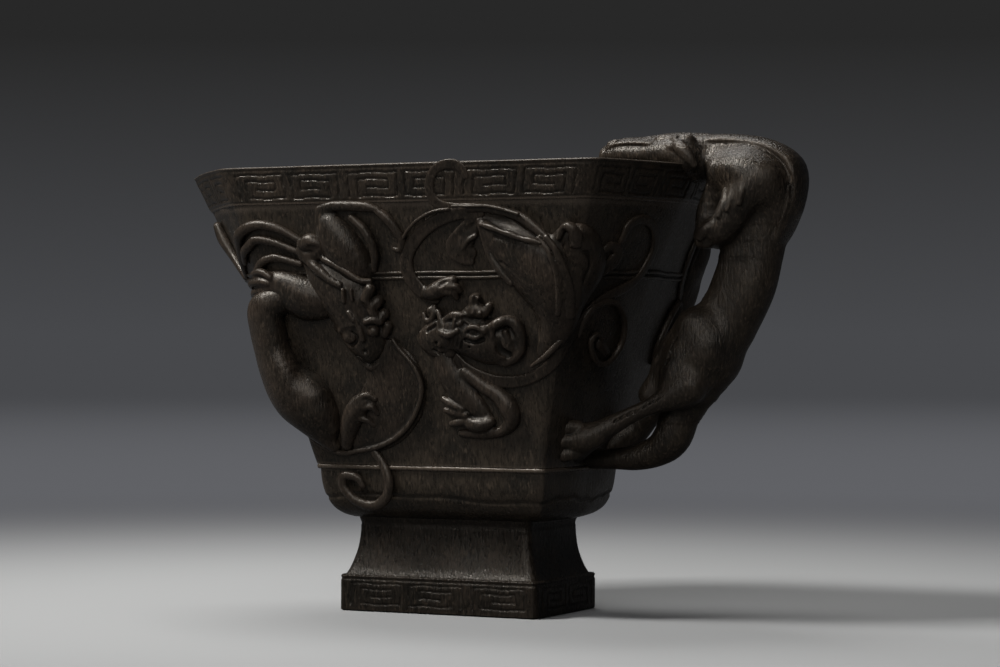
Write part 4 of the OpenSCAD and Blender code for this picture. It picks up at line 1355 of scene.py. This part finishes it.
        lay((1.689, 0.176, 1, 1.2), (1.645, 0.185, 1, 1.1), (1.608, 0.19, 0.7, 0.7)),
        lay((1.703, 0.156, 1, 1.1), (1.663, 0.152, 1, 1), (1.627, 0.144, 0.7, 0.6)),
        lay((1.709, 0.145, 1.5, 0.9), (1.749, 0.143, 1.8), (1.779, 0.152, 1.3, 0.7)),
        dig((1.718, 0.195, 0.9, 3), (1.76, 0.17, 0.7, 2.4)),
    ),
    "centre_dragon_body": (
        lay((1.725, 0.811, 1.6, 0), (1.773, 0.768, 4, -0.1), (1.841, 0.705, 6, -0.4),
            (1.917, 0.643, 7.4, -0.6), (1.972, 0.572, 6.6, -0.5), (2, 0.499, 5, -0.4),
            (1.986, 0.438, 3.6, -0.2), (1.959, 0.387, 2, 0), flat=0.62),
        lay((1.967, 0.752, 2.8, 0), (2.05, 0.72, 5, -0.2), (2.152, 0.663, 5.2), (2.127, 0.596, 4.2),
            (2.052, 0.523, 2.8, -0.1), flat=0.6),
        dig((1.732, 0.825, 1.1, 1.3), (1.774, 0.818, 1.8, 2.3), (1.825, 0.808, 2.3, 3.3),
            (1.875, 0.784, 1.7, 3.8), (1.911, 0.759, 1, 4.1)),
        lay((1.713, 0.811, 0.5, 0.8), (1.731, 0.76, 0.6, 1), (1.752, 0.706, 0.7, 1.2),
            (1.785, 0.656, 0.75, 1.6), (1.83, 0.607, 0.6, 1.7)),
        lay((1.725, 0.799, 0.5, 1.3), (1.755, 0.793, 0.7, 2.2), (1.788, 0.782, 0.55, 2.9),
            (1.819, 0.773, 0.75, 3.3), (1.851, 0.762, 0.6, 3.7), (1.882, 0.756, 0.75, 4),
            (1.916, 0.747, 0.5, 4.2)),
        dig((1.772, 0.762, 0.5, 2.7), (1.818, 0.749, 0.8, 3.6), (1.869, 0.735, 0.9, 4.2),
            (1.906, 0.729, 0.6, 4.5)),
        dig((1.794, 0.681, 0.35, 2.4), (1.846, 0.646, 0.4, 3.6), (1.909, 0.603, 0.4, 4.2)),
        dig((1.814, 0.716, 0.3, 3.4), (1.87, 0.678, 0.35, 4.3), (1.934, 0.618, 0.35, 4.6)),
        lay((1.955, 0.754, 0.6, 2), (1.961, 0.786, 0.8), (1.978, 0.794, 0.95, 2.3),
            (1.997, 0.774, 1, 2.5), (2.01, 0.737, 0.8)),
        dig((1.977, 0.773, 0.5, 3.3), (1.992, 0.746, 0.5, 3.4)),
        dig((2.042, 0.717, 0.35, 2.7), (2.094, 0.673, 0.4), (2.07, 0.621, 0.35, 2.6)),
    ),
    "tail_ribbon": (
        lay((1.673, 0.95, 0.85, 0.38), (1.659, 0.976, 1.04, 0.45), (1.636, 0.99, 1.16, 0.52),
            (1.61, 0.987), (1.586, 0.966), (1.575, 0.925), (1.582, 0.886, 1.16, 0.45),
            (1.604, 0.86), (1.646, 0.849), (1.701, 0.848), flat=0.74, top=0.72),
        lay((1.687, 0.848, 1.04, 0.45), (1.732, 0.848, 1.04, 0.6), (1.779, 0.838, 1.04, 0.9),
            (1.834, 0.821, 1.04, 1.65), (1.881, 0.791, 0.98, 2.47), (1.923, 0.758, 0.85, 3),
            flat=0.74),
        lay((1.643, 0.859, 0.35, 1.4), (1.693, 0.858, 0.4, 1.5), (1.737, 0.858, 0.4, 1.6),
            (1.784, 0.848, 0.4, 2), (1.834, 0.835, 0.4, 2.9)),
        lay((1.927, 0.765, 0.7, 4), (1.961, 0.725, 0.62, 4.2), (1.988, 0.669, 0.6, 4.1),
            (2.012, 0.599, 0.55, 3.6), (2.033, 0.506, 0.4, 2.8)),
        lay((1.904, 0.762, 0.5, 3.9), (1.945, 0.715, 0.55, 4.3), (1.971, 0.662),
            (1.988, 0.591, 0.5, 3.8), (1.996, 0.514, 0.4, 3)),
    ),
    "ring_strap": (
        lay((1.498, 0.757, 0.42, 0.9), (1.517, 0.786, 0.45, 0.95), (1.544, 0.815), (1.585, 0.84),
            (1.629, 0.848, 0.4, 0.9)),
        lay((1.716, 0.828, 1.1, 0.45), (1.665, 0.833, 1.46, 0.38), (1.618, 0.821, 1.59),
            (1.575, 0.796), (1.539, 0.761), (1.51, 0.716), (1.499, 0.674), (1.508, 0.628),
            (1.531, 0.592), (1.562, 0.565, 1.34), (1.587, 0.552, 0.98), flat=0.74, top=0.81),
        lay((1.563, 0.576, 1.5, 0.5), (1.595, 0.585, 2.1), (1.623, 0.601, 1.9),
            (1.642, 0.617, 1.1)),
        lay((1.627, 0.582, 0.8, 1.6), (1.647, 0.578, 0.8, 1.2), (1.656, 0.559, 0.6, 0.7)),
        lay((1.636, 0.599, 0.8, 1.6), (1.656, 0.597, 0.8, 1.2), (1.666, 0.582, 0.6, 0.7)),
        dig((1.613, 0.611, 0.7, 2.4), (1.634, 0.623, 0.6, 2.2)),
        lay((1.707, 0.789, 1.2, 0.1), (1.679, 0.751, 2.2, 0), (1.668, 0.719, 2.3),
            (1.69, 0.699, 1.6), flat=0.42),
        lay((1.713, 0.812, 0.85, 0.38), (1.694, 0.813, 0.92, 0.52), (1.675, 0.794, 0.98),
            (1.653, 0.766, 1.04), (1.636, 0.737, 1.22), (1.642, 0.708, 1.28, 0.45),
            (1.665, 0.688, 1.28, 0.38), (1.695, 0.674, 0.85, 0.22), flat=0.74, top=0.77),
        lay((1.706, 0.759, 0.6, 0.6), (1.687, 0.744, 0.6, 0.8), (1.675, 0.721, 0.55, 0.7)),
    ),
    "lower_scroll": (
        lay((1.65, 0.365, 0.98, 0.45), (1.675, 0.336, 1.22), (1.718, 0.31, 1.34), (1.78, 0.29),
            (1.847, 0.284, 1.4), (1.912, 0.294), (1.972, 0.324), (2.022, 0.367, 1.4, 0.52),
            (2.103, 0.416), (2.217, 0.481, 1.34, 0.45), (2.329, 0.533, 1.28),
            (2.468, 0.565, 1.22, 0.38), (2.628, 0.589), (2.765, 0.623), (2.833, 0.676),
            (2.841, 0.731), (2.767, 0.782), (2.651, 0.81, 1.16), (2.54, 0.812, 1.1), (2.467, 0.791),
            (2.443, 0.746, 0.85, 0.3), flat=0.74, top=0.81),
        lay((2.173, 0.621, 1.1, 0.15), (2.304, 0.647, 1.71), (2.408, 0.674, 1.83, 0.22),
            (2.442, 0.707, 1.46), (2.349, 0.725, 1.1), (2.283, 0.708, 0.85, 0.15), flat=0.74,
            top=0.82),
        lay((1.929, 0.341, 0.5, 1.6), (1.971, 0.372, 0.7, 1.8), (2.019, 0.425, 0.5, 1.6)),
    ),
    "oval_scroll": (
        lay((2.228, 0.435, 0.5, 0.5), (2.235, 0.481, 0.75, 0.6), (2.295, 0.524, 0.8),
            (2.409, 0.544), (2.542, 0.547), (2.675, 0.525), (2.794, 0.482), (2.859, 0.423),
            (2.821, 0.376), (2.707, 0.343), (2.557, 0.35, 0.75), (2.446, 0.383, 0.7),
            (2.395, 0.419, 0.65), (2.451, 0.442, 0.6), (2.552, 0.426, 0.55)),
        lay((2.557, 0.407, 1.6, 0.1), (2.682, 0.38, 1.4), flat=0.5),
    ),
}


@dataclass(frozen=True)
class Relief:
    """The two dragons and their scrolls, carved on both long faces."""

    wall: CupWall
    finish: bpy.types.Material
    cell: float = 0.25
    blend: float = 1.3
    sunk: float = 0.9
    level: float = 0.5
    gauge_span: tuple = (-0.5, 3.6)
    gauge_count: int = 1641
    end_corner_u: float = 2.0
    far_end_share: float = 0.45
    per_gap: int = 7
    least: float = 0.15
    margin: float = 1.5
    margin_radii: float = 1.9
    headroom: float = 1.0
    cut_blend: float = 0.3
    blend_share: float = 0.3
    standout_reach: float = 1.1

    def gauge(self) -> tuple[np.ndarray, np.ndarray]:
        """Return u, and the distance round the plan up to it at the middle of the wall."""
        u = np.linspace(*self.gauge_span, self.gauge_count)
        p = self.wall.plan(u, np.full(len(u), self.level))
        run = np.concatenate([[0], np.cumsum(np.linalg.norm(np.diff(p, axis=0), axis=1))])
        return u, run

    def stretch(self, u: np.ndarray, v: np.ndarray, flat: float) -> np.ndarray:
        """Return how long a step on the wall is, against a step in the clay."""
        step = 0.06
        here, there = [
            np.linalg.norm(self.wall.plan(u + step, at) - self.wall.plan(u - step, at), axis=-1)
            for at in (v, np.full(len(u), self.level))]
        rise = 0.01
        up = np.linalg.norm(self.wall.point(u, v + rise) - self.wall.point(u, v - rise), axis=-1)
        up = up / (2 * rise * self.wall.sizes.body_h)
        return np.column_stack([here / there, up, np.full(len(u), 1 / flat)])

    def drawn_in(self, strands: tuple[Strand, ...]) -> tuple[Strand, ...]:
        """Return strands that stop short on the handle's end, as on the far side."""
        def place(u: float) -> float:
            """Return a bead's place round the plan."""
            past = u - self.end_corner_u
            return self.end_corner_u + past * self.far_end_share if past > 0 else u

        return tuple(replace(s, beads=tuple((place(u), *rest) for u, *rest in s.beads))
                     for s in strands)

    def model(self, strands: tuple[Strand, ...]) -> tuple[np.ndarray, np.ndarray]:
        """Model one carving flat.

        Args:
            strands: what is laid on and cut away, in order.

        Returns:
            Points as u, v and lift, and quads.
        """
        us, run = self.gauge()
        height = self.wall.sizes.body_h
        tables = [s.table(self.per_gap) for s in strands]
        every = np.vstack(tables)
        x = np.interp(every[:, 0], us, run)
        pad = every[:, 2].max() * self.margin_radii + self.margin
        low = np.array([x.min() - pad, every[:, 1].min() * height - pad,
                        -self.sunk - 3 * self.cell])
        high = np.array([x.max() + pad, every[:, 1].max() * height + pad,
                         (every[:, 3] + every[:, 2]).max() + self.headroom])
        clay = Clay(low, high, self.cell)
        for strand, table in zip(strands, tables):
            u, v = table[:, 0], table[:, 1]
            radii = np.maximum(table[:, 2], self.least)
            beads = np.column_stack([np.interp(u, us, run), v * height, table[:, 3], radii])
            soft = float(np.clip(self.blend_share * table[:, 2].max(), self.cut_blend, self.blend))
            clay.run(beads, self.stretch(u, v, strand.flat), strand.cut,
                     self.cut_blend if strand.cut else soft, strand.top)
        depth = clay.axes((slice(0, 1), slice(0, 1), slice(0, clay.values.shape[2])))[2]
        clay.values = np.maximum(clay.values, -self.sunk - depth)
        points, quads = clay.skin()
        u = np.interp(points[:, 0], run, us)
        return np.column_stack([u, points[:, 1] / height, points[:, 2]]), quads

    def build(self) -> None:
        """Carve each piece and lay it on the near and the far face."""
        for name, strands in RELIEF.items():
            points, quads = self.model(strands)
            round_end = max(b[0] for s in strands for b in s.beads) > self.end_corner_u
            for side, prefix in ((Side.NEAR, ""), (Side.FAR, "far_")):
                if side is Side.FAR and round_end:
                    points, quads = self.model(self.drawn_in(strands))
                obj = new_object(prefix + name + "_carved", self.wall.place(*points.T, side), quads)
                outward(obj)
                dress(obj, prefix + name, self.finish, self.standout_reach)


# The handle dragon


def hairs(places: tuple) -> tuple[Strand, ...]:
    """Return the short grooves between the hairs on a leg, from the middle of each groove."""
    return tuple(dig((x + 0.022, y, z + 0.014, 0.035), (x, y + 0.01, z, 0.055),
                     (x - 0.018, y - 0.02, z - 0.018, 0.035)) for x, y, z in places)


THIGH_HAIRS = ((0.985, 0.74, 0.445), (0.965, 0.745, 0.425), (0.95, 0.745, 0.4),
               (0.938, 0.75, 0.375), (0.93, 0.76, 0.35), (0.924, 0.77, 0.325), (0.918, 0.78, 0.3),
               (0.914, 0.79, 0.275))
SHANK_HAIRS = ((0.9, 0.99, 0.225), (0.872, 1.0, 0.212), (0.845, 1.02, 0.2), (0.818, 1.05, 0.19),
               (0.79, 1.07, 0.18), (0.762, 1.1, 0.168), (0.735, 1.13, 0.155))

THIGH: tuple[Strand, ...] = (
    lay((1.1, 0.34, 0.46, 0.42), (1.13, 0.36, 0.4, 0.5), (1.05, 0.38, 0.34, 0.47),
        (0.95, 0.42, 0.285, 0.4)),
    lay((1.02, 0.42, 0.46, 0.37), (0.97, 0.46, 0.38, 0.35), (0.95, 0.5, 0.3, 0.34),
        (0.96, 0.56, 0.255, 0.3)),
    lay((0.98, 0.2, 0.46, 0.3), (0.9, 0.2, 0.37, 0.32), (0.86, 0.26, 0.29, 0.3),
        (0.82, 0.34, 0.24, 0.26)),
    *hairs(THIGH_HAIRS),
)

HANDLE: dict[str, tuple[Strand, ...]] = {
    "handle_neck": (
        lay((0.99, 0, 1.0, 0.4), (1.12, 0, 1.02, 0.44), (1.35, 0, 1.015, 0.5),
            (1.58, 0, 0.99, 0.54), (1.74, 0, 0.93, 0.5), (1.76, 0, 0.86, 0.44)),
        *pair(lay((1.3, 0.42, 0.97, 0.4), (1.5, 0.5, 0.96, 0.5), (1.66, 0.35, 0.92, 0.46))),
    ),
    "handle_head": (
        lay((0.62, 0, 1.04, 0.2), (0.68, 0, 1.05, 0.28), (0.76, 0, 1.045, 0.33),
            (0.84, 0, 1.0443, 0.38), (0.93, 0, 1.0388, 0.44), (1.02, 0, 1.03, 0.45)),
        *pair(lay((0.63, 0.2, 1.03, 0.18), (0.7, 0.3, 1.035, 0.22), (0.8, 0.36, 1.03, 0.27),
            (0.9, 0.46, 1.03, 0.32), (0.98, 0.46, 1.02, 0.34))),
        lay((0.66, 0, 1.08, 0.06), (0.74, 0, 1.082, 0.07), (0.83, 0, 1.083)),
        *pair(lay((0.64, 0.34, 1.055, 0.05), (0.68, 0.42, 1.068), (0.76, 0.5, 1.07),
            (0.84, 0.6, 1.064))),
        *pair(lay((0.645, 0.24, 1.068, 0.1), (0.665, 0.26, 1.072))),
        *pair(dig((0.64, 0.4, 1.012, 0.04), (0.72, 0.54, 1.01), (0.82, 0.66, 1.01, 0.03))),
    ),
    "handle_brows": (
        *pair(lay((0.84, 0.3, 1.074, 0.08), (0.875, 0.42, 1.077, 0.12), (0.915, 0.44, 1.075),
            (0.945, 0.56, 1.068, 0.1))),
        *pair(lay((0.985, 0.52, 1.066, 0.2))),
        *pair(dig((0.955, 0.68, 1.07, 0.04), (0.96, 0.6, 1.092), (0.99, 0.62, 1.098),
            (1.03, 0.68, 1.085), (1.05, 0.72, 1.065))),
        *pair(lay((0.9, 0.62, 1.05, 0.08), (0.94, 0.74, 1.05, 0.09), (0.98, 0.78, 1.05, 0.08))),
        *pair(lay((0.96, 0.72, 1.06, 0.12), (0.99, 0.86, 1.04, 0.15), (1.04, 0.88, 1.015, 0.12),
            (1.08, 0.84, 0.99, 0.07))),
    ),
    "handle_torso": (
        lay((1.68, 0, 0.87, 0.5), (1.62, 0, 0.8, 0.48), (1.56, 0, 0.7), (1.48, 0, 0.6, 0.52),
            (1.36, 0, 0.51, 0.54), (1.22, 0, 0.42), (1.08, 0, 0.34, 0.48)),
        lay((1.52, 0, 0.85, 0.42), (1.42, 0, 0.75), (1.35, 0, 0.67), (1.28, 0, 0.6),
            (1.2, 0, 0.52, 0.44)),
    ),
    "handle_mane": (
        lay((0.98, 0, 1.065, 0.13), (1.15, 0, 1.072, 0.15), (1.36, 0, 1.069, 0.16),
            (1.62, 0, 1.052), (1.82, 0, 1.012), (1.895, 0, 0.96, 0.165), (1.88, 0, 0.88, 0.16),
            (1.78, 0, 0.78, 0.15), (1.67, 0, 0.7, 0.08), flat=0.36),
        *pair(dig((1.0, 0.6, 1.03, 0.05), (1.12, 0.56, 1.045, 0.06), (1.36, 0.6), (1.6, 0.56, 1.03),
            (1.76, 0.5, 1.0), (1.88, 0.46, 0.95), (1.9, 0.44, 0.87, 0.05),
            (1.8, 0.42, 0.77, 0.04))),
    ),
    "handle_haunch": THIGH + tuple(turned(s) for s in THIGH),
    "handle_tail": (
        lay((1.16, 0, 0.35, 0.48), (1, 0, 0.262, 0.4), (0.93, 0, 0.185), (0.885, 0, 0.1, 0.41),
            (0.83, 0, 0.056, 0.34), (0.74, 0, 0.03, 0.28), (0.64, 0, 0.022, 0.22),
            (0.5, 0, 0.02, 0.2)),
    ),
}

FORELEG: tuple[Strand, ...] = (
    lay((1.62, 0.5, 0.94, 0.42), (1.52, 0.62, 0.9, 0.38), (1.43, 0.66, 0.85, 0.33),
        (1.36, 0.68, 0.805, 0.29), (1.27, 0.66, 0.775, 0.26), (1.18, 0.62, 0.765, 0.2)),
    lay((1.3, 0.5, 0.78, 0.2), (1.2, 0.42, 0.755, 0.18), (1.1, 0.4, 0.75, 0.14)),
    lay((1.32, 0.3, 0.94, 0.3), (1.17, 0.3, 0.88, 0.22), (1.12, 0.32, 0.82, 0.2),
        (1.12, 0.4, 0.77, 0.17)),
    lay((1.38, 0.84, 0.9, 0.05), (1.37, 0.94, 0.86, 0.06), (1.33, 0.98, 0.82, 0.04)),
    lay((1.46, 0.82, 0.93, 0.05), (1.44, 0.96, 0.88, 0.06), (1.41, 1.0, 0.84, 0.04)),
    lay((1.55, 0.86, 0.94, 0.05), (1.54, 0.98, 0.9, 0.06), (1.52, 1.0, 0.86, 0.04)),
    lay((1.26, 0.84, 0.79, 0.1), (1.19, 0.86, 0.775, 0.11), (1.14, 0.82, 0.755, 0.08)),
    lay((1.24, 0.72, 0.75, 0.1), (1.17, 0.7, 0.735), (1.1, 0.66, 0.735, 0.07)),
)

HIND_LEGS: dict[Side, tuple[Strand, ...]] = {
    Side.NEAR: (
        lay((1.0, 0.64, 0.265, 0.34), (0.94, 0.74, 0.235, 0.25), (0.865, 0.86, 0.205, 0.155),
            (0.78, 0.93, 0.172), (0.7, 1, 0.135, 0.2), (0.61, 1.1, 0.095, 0.28),
            (0.53, 1.14, 0.08, 0.24)),
        *hairs(SHANK_HAIRS),
    ),
    Side.FAR: (
        lay((0.94, 0.62, 0.255, 0.34), (0.88, 0.8, 0.24, 0.28), (0.82, 0.9, 0.235, 0.27),
            (0.755, 1, 0.21, 0.26), (0.7, 1.05, 0.16, 0.25), (0.64, 1.1, 0.105, 0.26),
            (0.57, 1.12, 0.08, 0.28), (0.5, 1.12, 0.08, 0.24)),
    ),
}

CLAWS: tuple[Strand, ...] = (
    lay((0.6, 1, 0.1, 0.2), (0.56, 0.82, 0.05, 0.15), (0.5, 0.8, 0.03, 0.12)),
    lay((0.58, 1.18, 0.13, 0.15), (0.53, 1.36), (0.48, 1.46, 0.11, 0.1)),
    lay((0.57, 1.2, 0.09, 0.16), (0.52, 1.38, 0.085, 0.15), (0.47, 1.46, 0.07, 0.1)),
    lay((0.57, 1.14, 0.05, 0.15), (0.53, 1.28, 0.04, 0.14), (0.48, 1.34, 0.03, 0.1)),
)


@dataclass(frozen=True)
class HandleDragon:
    """The dragon that climbs over the rim and makes the handle."""

    wall: CupWall
    finish: bpy.types.Material
    rubbed_and_highlit: bpy.types.Material
    cell: float = 0.26
    own_blend: float = 2.4
    joint_blend: float = 2.2
    seam_mm: float = 0.05
    sunk: float = 1.0
    toe_blend: float = 0.3
    toe_size: float = 1.8
    loose_blend: float = 0.35
    margin: float = 1.5
    per_gap: int = 6
    least_share: float = 0.03
    outer_share: float = 0.45
    standout_reach: float = 1.4
    end_sides: tuple = (1, 2, 3, 4)
    loose: tuple = ("handle_mane", "handle_brows")
    held: tuple = ("handle_head", "handle_brows", "handle_neck", "handle_mane")

    @staticmethod
    def strands() -> dict[str, tuple[Strand, ...]]:
        """Return every piece's strands, with the legs of both sides."""
        near_leg = HIND_LEGS[Side.NEAR] + CLAWS
        return {**HANDLE,
                "handle_foreleg_near": tuple(turned(s) for s in FORELEG),
                "handle_foreleg_far": FORELEG,
                "handle_hind_leg_near": tuple(turned(s) for s in near_leg),
                "handle_hind_leg_far": HIND_LEGS[Side.FAR] + CLAWS}

    def beads(self, strand: Strand) -> np.ndarray:
        """Return a strand's beads in millimetres."""
        s = self.wall.sizes
        reach, aside, rise, radius = strand.table(self.per_gap).T
        x = np.where(reach < 1, reach * s.end_reach, s.end_reach + (reach - 1) * s.handle_stand)
        return np.column_stack([x, aside * s.handle_t, s.body_z + rise * s.body_h,
                                np.maximum(radius, self.least_share) * s.handle_t])

    def outside(self, clay: Clay) -> np.ndarray:
        """Return the distance outside the cup's filled wall, for each cell of the clay."""
        s = self.wall.sizes
        nx, ny, nz = clay.values.shape
        x, y, z = clay.axes((slice(0, nx), slice(0, ny), slice(0, nz)))
        v = (np.minimum(z, s.rim_z) - s.body_z).ravel() / s.body_h
        out = np.full((nx, ny, nz), -np.inf, np.float32)
        for k in self.end_sides:
            a, b = self.wall.corner(np.full(nz, k), v), self.wall.corner(np.full(nz, k + 1), v)
            mid = (a + b) / 2 * (1 + self.wall.bow_share)
            along = unit(b - a)
            nose = np.stack([along[:, 1], -along[:, 0]], -1)
            d = (x - mid[:, 0]) * nose[:, 0] + (y - mid[:, 1]) * nose[:, 1]
            out = np.maximum(out, d)
        return np.maximum(out, z - s.rim_z)

    def smooth_seams(self, obj: bpy.types.Object, whole: Clay, slope: list) -> None:
        """Shade a piece's outside as the whole dragon's, so that it runs on over its seams.

        Args:
            obj: the piece.
            whole: the whole dragon.
            slope: the gradient of its distances.
        """
        points = positions(obj)
        at = np.clip((points - whole.low) / self.cell, 0, np.array(whole.values.shape) - 1.001)
        i = at.astype(int)
        t = at - i
        mixed = np.zeros((len(points), 4))
        for corner in range(8):
            bits = np.array([corner & 1, corner >> 1 & 1, corner >> 2 & 1])
            share = np.prod(np.where(bits, t, 1 - t), axis=1)[:, None]
            x, y, z = (i + bits).T
            values = np.column_stack([s[x, y, z] for s in slope] + [whole.values[x, y, z]])
            mixed += share * values
        outer = np.abs(mixed[:, 3]) < self.outer_share * self.cell
        shown = np.where(outer[:, None], unit(mixed[:, :3]), normals(obj))
        obj.data.normals_split_custom_set_from_vertices(shown.tolist())

    def build(self) -> None:
        """Model the dragon as one form, part it along its joints, and dress each piece."""
        groups = {name: [(self.beads(s), s.flat, s.cut) for s in strands]
                  for name, strands in self.strands().items()}
        every = np.vstack([beads for runs in groups.values() for beads, _, _ in runs])
        pad = every[:, 3].max() + self.margin
        low, high = every[:, :3].min(0) - pad, every[:, :3].max(0) + pad
        clays = {}
        for name, runs in groups.items():
            clay = Clay(low, high, self.cell)
            for beads, flat, cut in runs:
                thin = beads[:, 3].max() < self.toe_size
                spread = np.repeat([[1.0, flat, 1.0]], len(beads), 0)
                clay.run(beads, spread, cut, self.toe_blend if thin else self.own_blend)
            clays[name] = clay
        whole = Clay(low, high, self.cell)
        for name, clay in clays.items():
            soft = self.loose_blend if name in self.loose else self.joint_blend
            whole.values = smooth_min(whole.values, clay.values, soft)
        keep_out = -self.outside(whole) - self.sunk
        slope = np.gradient(whole.values, self.cell)
        for name, clay in clays.items():
            others = np.full_like(whole.values, whole.far)
            for other, beside in clays.items():
                if other != name:
                    others = np.minimum(others, beside.values)
            mine = clay.values - others - self.seam_mm
            piece = Clay(low, high, self.cell)
            piece.values = np.maximum(np.maximum(whole.values, mine), keep_out).astype(np.float32)
            points, quads = piece.skin()
            obj = new_object(name + "_carved", points, quads)
            outward(obj)
            self.smooth_seams(obj, whole, slope)
            finish = self.rubbed_and_highlit if name in self.held else self.finish
            dress(obj, name, finish, self.standout_reach)


# The studio


@dataclass(frozen=True)
class Lamp:
    """A square soft light that faces the cup."""

    name: str
    azimuth_deg: float
    elevation_deg: float
    far_m: float
    size_m: float
    power_w: float
    colour: str = "#ffffff"
    aim_m: float = 0.06

    def hang(self) -> None:
        """Hang the lamp."""
        data = bpy.data.lights.new(self.name, "AREA")
        data.shape, data.size, data.energy = "SQUARE", self.size_m, self.power_w
        data.color = linear(self.colour)[:3]
        obj = bpy.data.objects.new(self.name, data)
        bpy.context.scene.collection.objects.link(obj)
        a, e = math.radians(self.azimuth_deg), math.radians(self.elevation_deg)
        obj.location = (self.far_m * math.sin(a) * math.cos(e),
                        -self.far_m * math.cos(a) * math.cos(e),
                        self.far_m * math.sin(e) + self.aim_m)
        obj.rotation_euler = (math.pi / 2 - e, 0, a)


@dataclass(frozen=True)
class Studio:
    """The camera, the pale sweep and the soft lights."""

    azimuth_deg: float = 26.89
    distance: float = 668.07
    eye_z: float = 63.01
    shift: float = 7.21
    lens_mm: float = 105.2
    sensor_mm: float = 36.0
    clip_m: tuple = (0.01, 20.0)
    floor_m: float = 4.0
    fill: str = "#b4b8be"
    fill_strength: float = 0.05
    horizon: str = "#47484b"
    sky: str = "#282828"
    sky_rise: float = 0.1
    lamps: tuple = (Lamp("key", -50.0, 49.0, 1.2, 0.3, 15.0),
                    Lamp("top", -128.0, 66.0, 1.2, 0.5, 6.5),
                    Lamp("fill", 8.0, 26.0, 1.7, 1.0, 8.5, "#f8f8fa"))

    def camera(self) -> None:
        """Place the camera where the photograph was taken from."""
        data = bpy.data.cameras.new("camera")
        data.lens, data.sensor_width = self.lens_mm, self.sensor_mm
        data.clip_start, data.clip_end = self.clip_m
        obj = bpy.data.objects.new("camera", data)
        bpy.context.scene.collection.objects.link(obj)
        a = math.radians(self.azimuth_deg)
        obj.location = ((self.distance * math.sin(a) + self.shift * math.cos(a)) * MM,
                        (-self.distance * math.cos(a) + self.shift * math.sin(a)) * MM,
                        self.eye_z * MM)
        obj.rotation_euler = (math.pi / 2, 0, a)
        bpy.context.scene.camera = obj

    def floor(self) -> None:
        """Lay the pale floor."""
        bpy.ops.object.select_all(action="DESELECT")
        bpy.ops.mesh.primitive_circle_add(vertices=96, radius=self.floor_m, fill_type="NGON",
                                          location=(0, 0, 0))
        obj = bpy.context.active_object
        obj.name = "floor"
        obj.data.materials.append(FloorFinish().build())

    def world(self) -> None:
        """Set a grey behind the floor, darkened upwards as painted shade, and a soft even fill."""
        world = bpy.data.worlds.new("studio")
        bpy.context.scene.world = world
        world.use_nodes = True
        world.node_tree.nodes.clear()
        nodes = Nodes(world.node_tree)
        fill = nodes.add("Background", {"Color": linear(self.fill), "Strength": self.fill_strength})
        way = nodes.add("TexCoord", out="Generated")
        rise = nodes.add("SeparateXYZ", {}, {0: way}, "Z")
        # backdrop darkens from horizon to sky: painted shade
        tone = nodes.mix(nodes.remap(rise, (0.0, self.sky_rise)), self.horizon, self.sky)
        seen = nodes.add("Background", {"Strength": 1.0}, {"Color": tone})
        eye = nodes.add("LightPath", out="Is Camera Ray")
        both = nodes.add("MixShader", {}, {0: eye, 1: fill, 2: seen})
        nodes.add("OutputWorld", links={"Surface": both})

    def build(self) -> None:
        """Set up the studio."""
        self.camera()
        self.floor()
        self.world()
        for lamp in self.lamps:
            lamp.hang()
        bpy.context.scene.view_settings.view_transform = "Standard"


def main() -> None:
    """Build the cup in order."""
    logging.basicConfig(level=logging.INFO, format="%(name)s: %(message)s")
    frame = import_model()
    log.info("%d CAD nodes", len(frame["nodes"]))
    Studio().build()
    wall = CupWall()
    plain = HornFinish("scraped_horn").build()
    # lip and girdle edge: stronger paler ridges, partly rubbing and partly a painted highlight
    wear_and_highlight = HornFinish("worn_highlit_horn_edge", body="#332b23", wear_and_highlight="#5f5449", polish=0.3).build()
    carved = HornFinish("carved_horn", body="#302821", wear_and_highlight="#40372f", polish=0.3,
                        wear_and_highlight_gain=0.7, shine=0.42).build()
    handled = HornFinish("handled_horn", dark="#15120f", body="#2f2820", wear_and_highlight="#40372f",
                         polish=0.38, wear_and_highlight_gain=0.7, bump_mm=0.22, fleck_share=0.6).build()
    # stem and plinth: horn painted darker than the bowl's, as painted shade
    foot = HornFinish("foot_horn_painted_shade", dark="#100e0b", body="#1f1a15", wear_and_highlight="#2e2720", fleck_share=0.3,
                      wear_and_highlight_gain=0.5, polish=0.27, bump_mm=0.2, shine=0.3).build()
    Vessel(wall, plain, wear_and_highlight, foot).build()
    Relief(wall, carved).build()
    # head and neck: glossier, with paler ridges that are partly rubbing and partly a painted
    # highlight
    rubbed_and_highlit = HornFinish("rubbed_highlit_horn", dark="#15120f", body="#2b241d", wear_and_highlight="#4b4239", polish=0.25,
                        bump_mm=0.2, fleck_share=0.6).build()
    HandleDragon(wall, handled, rubbed_and_highlit).build()


if __name__ == "__main__":
    main()
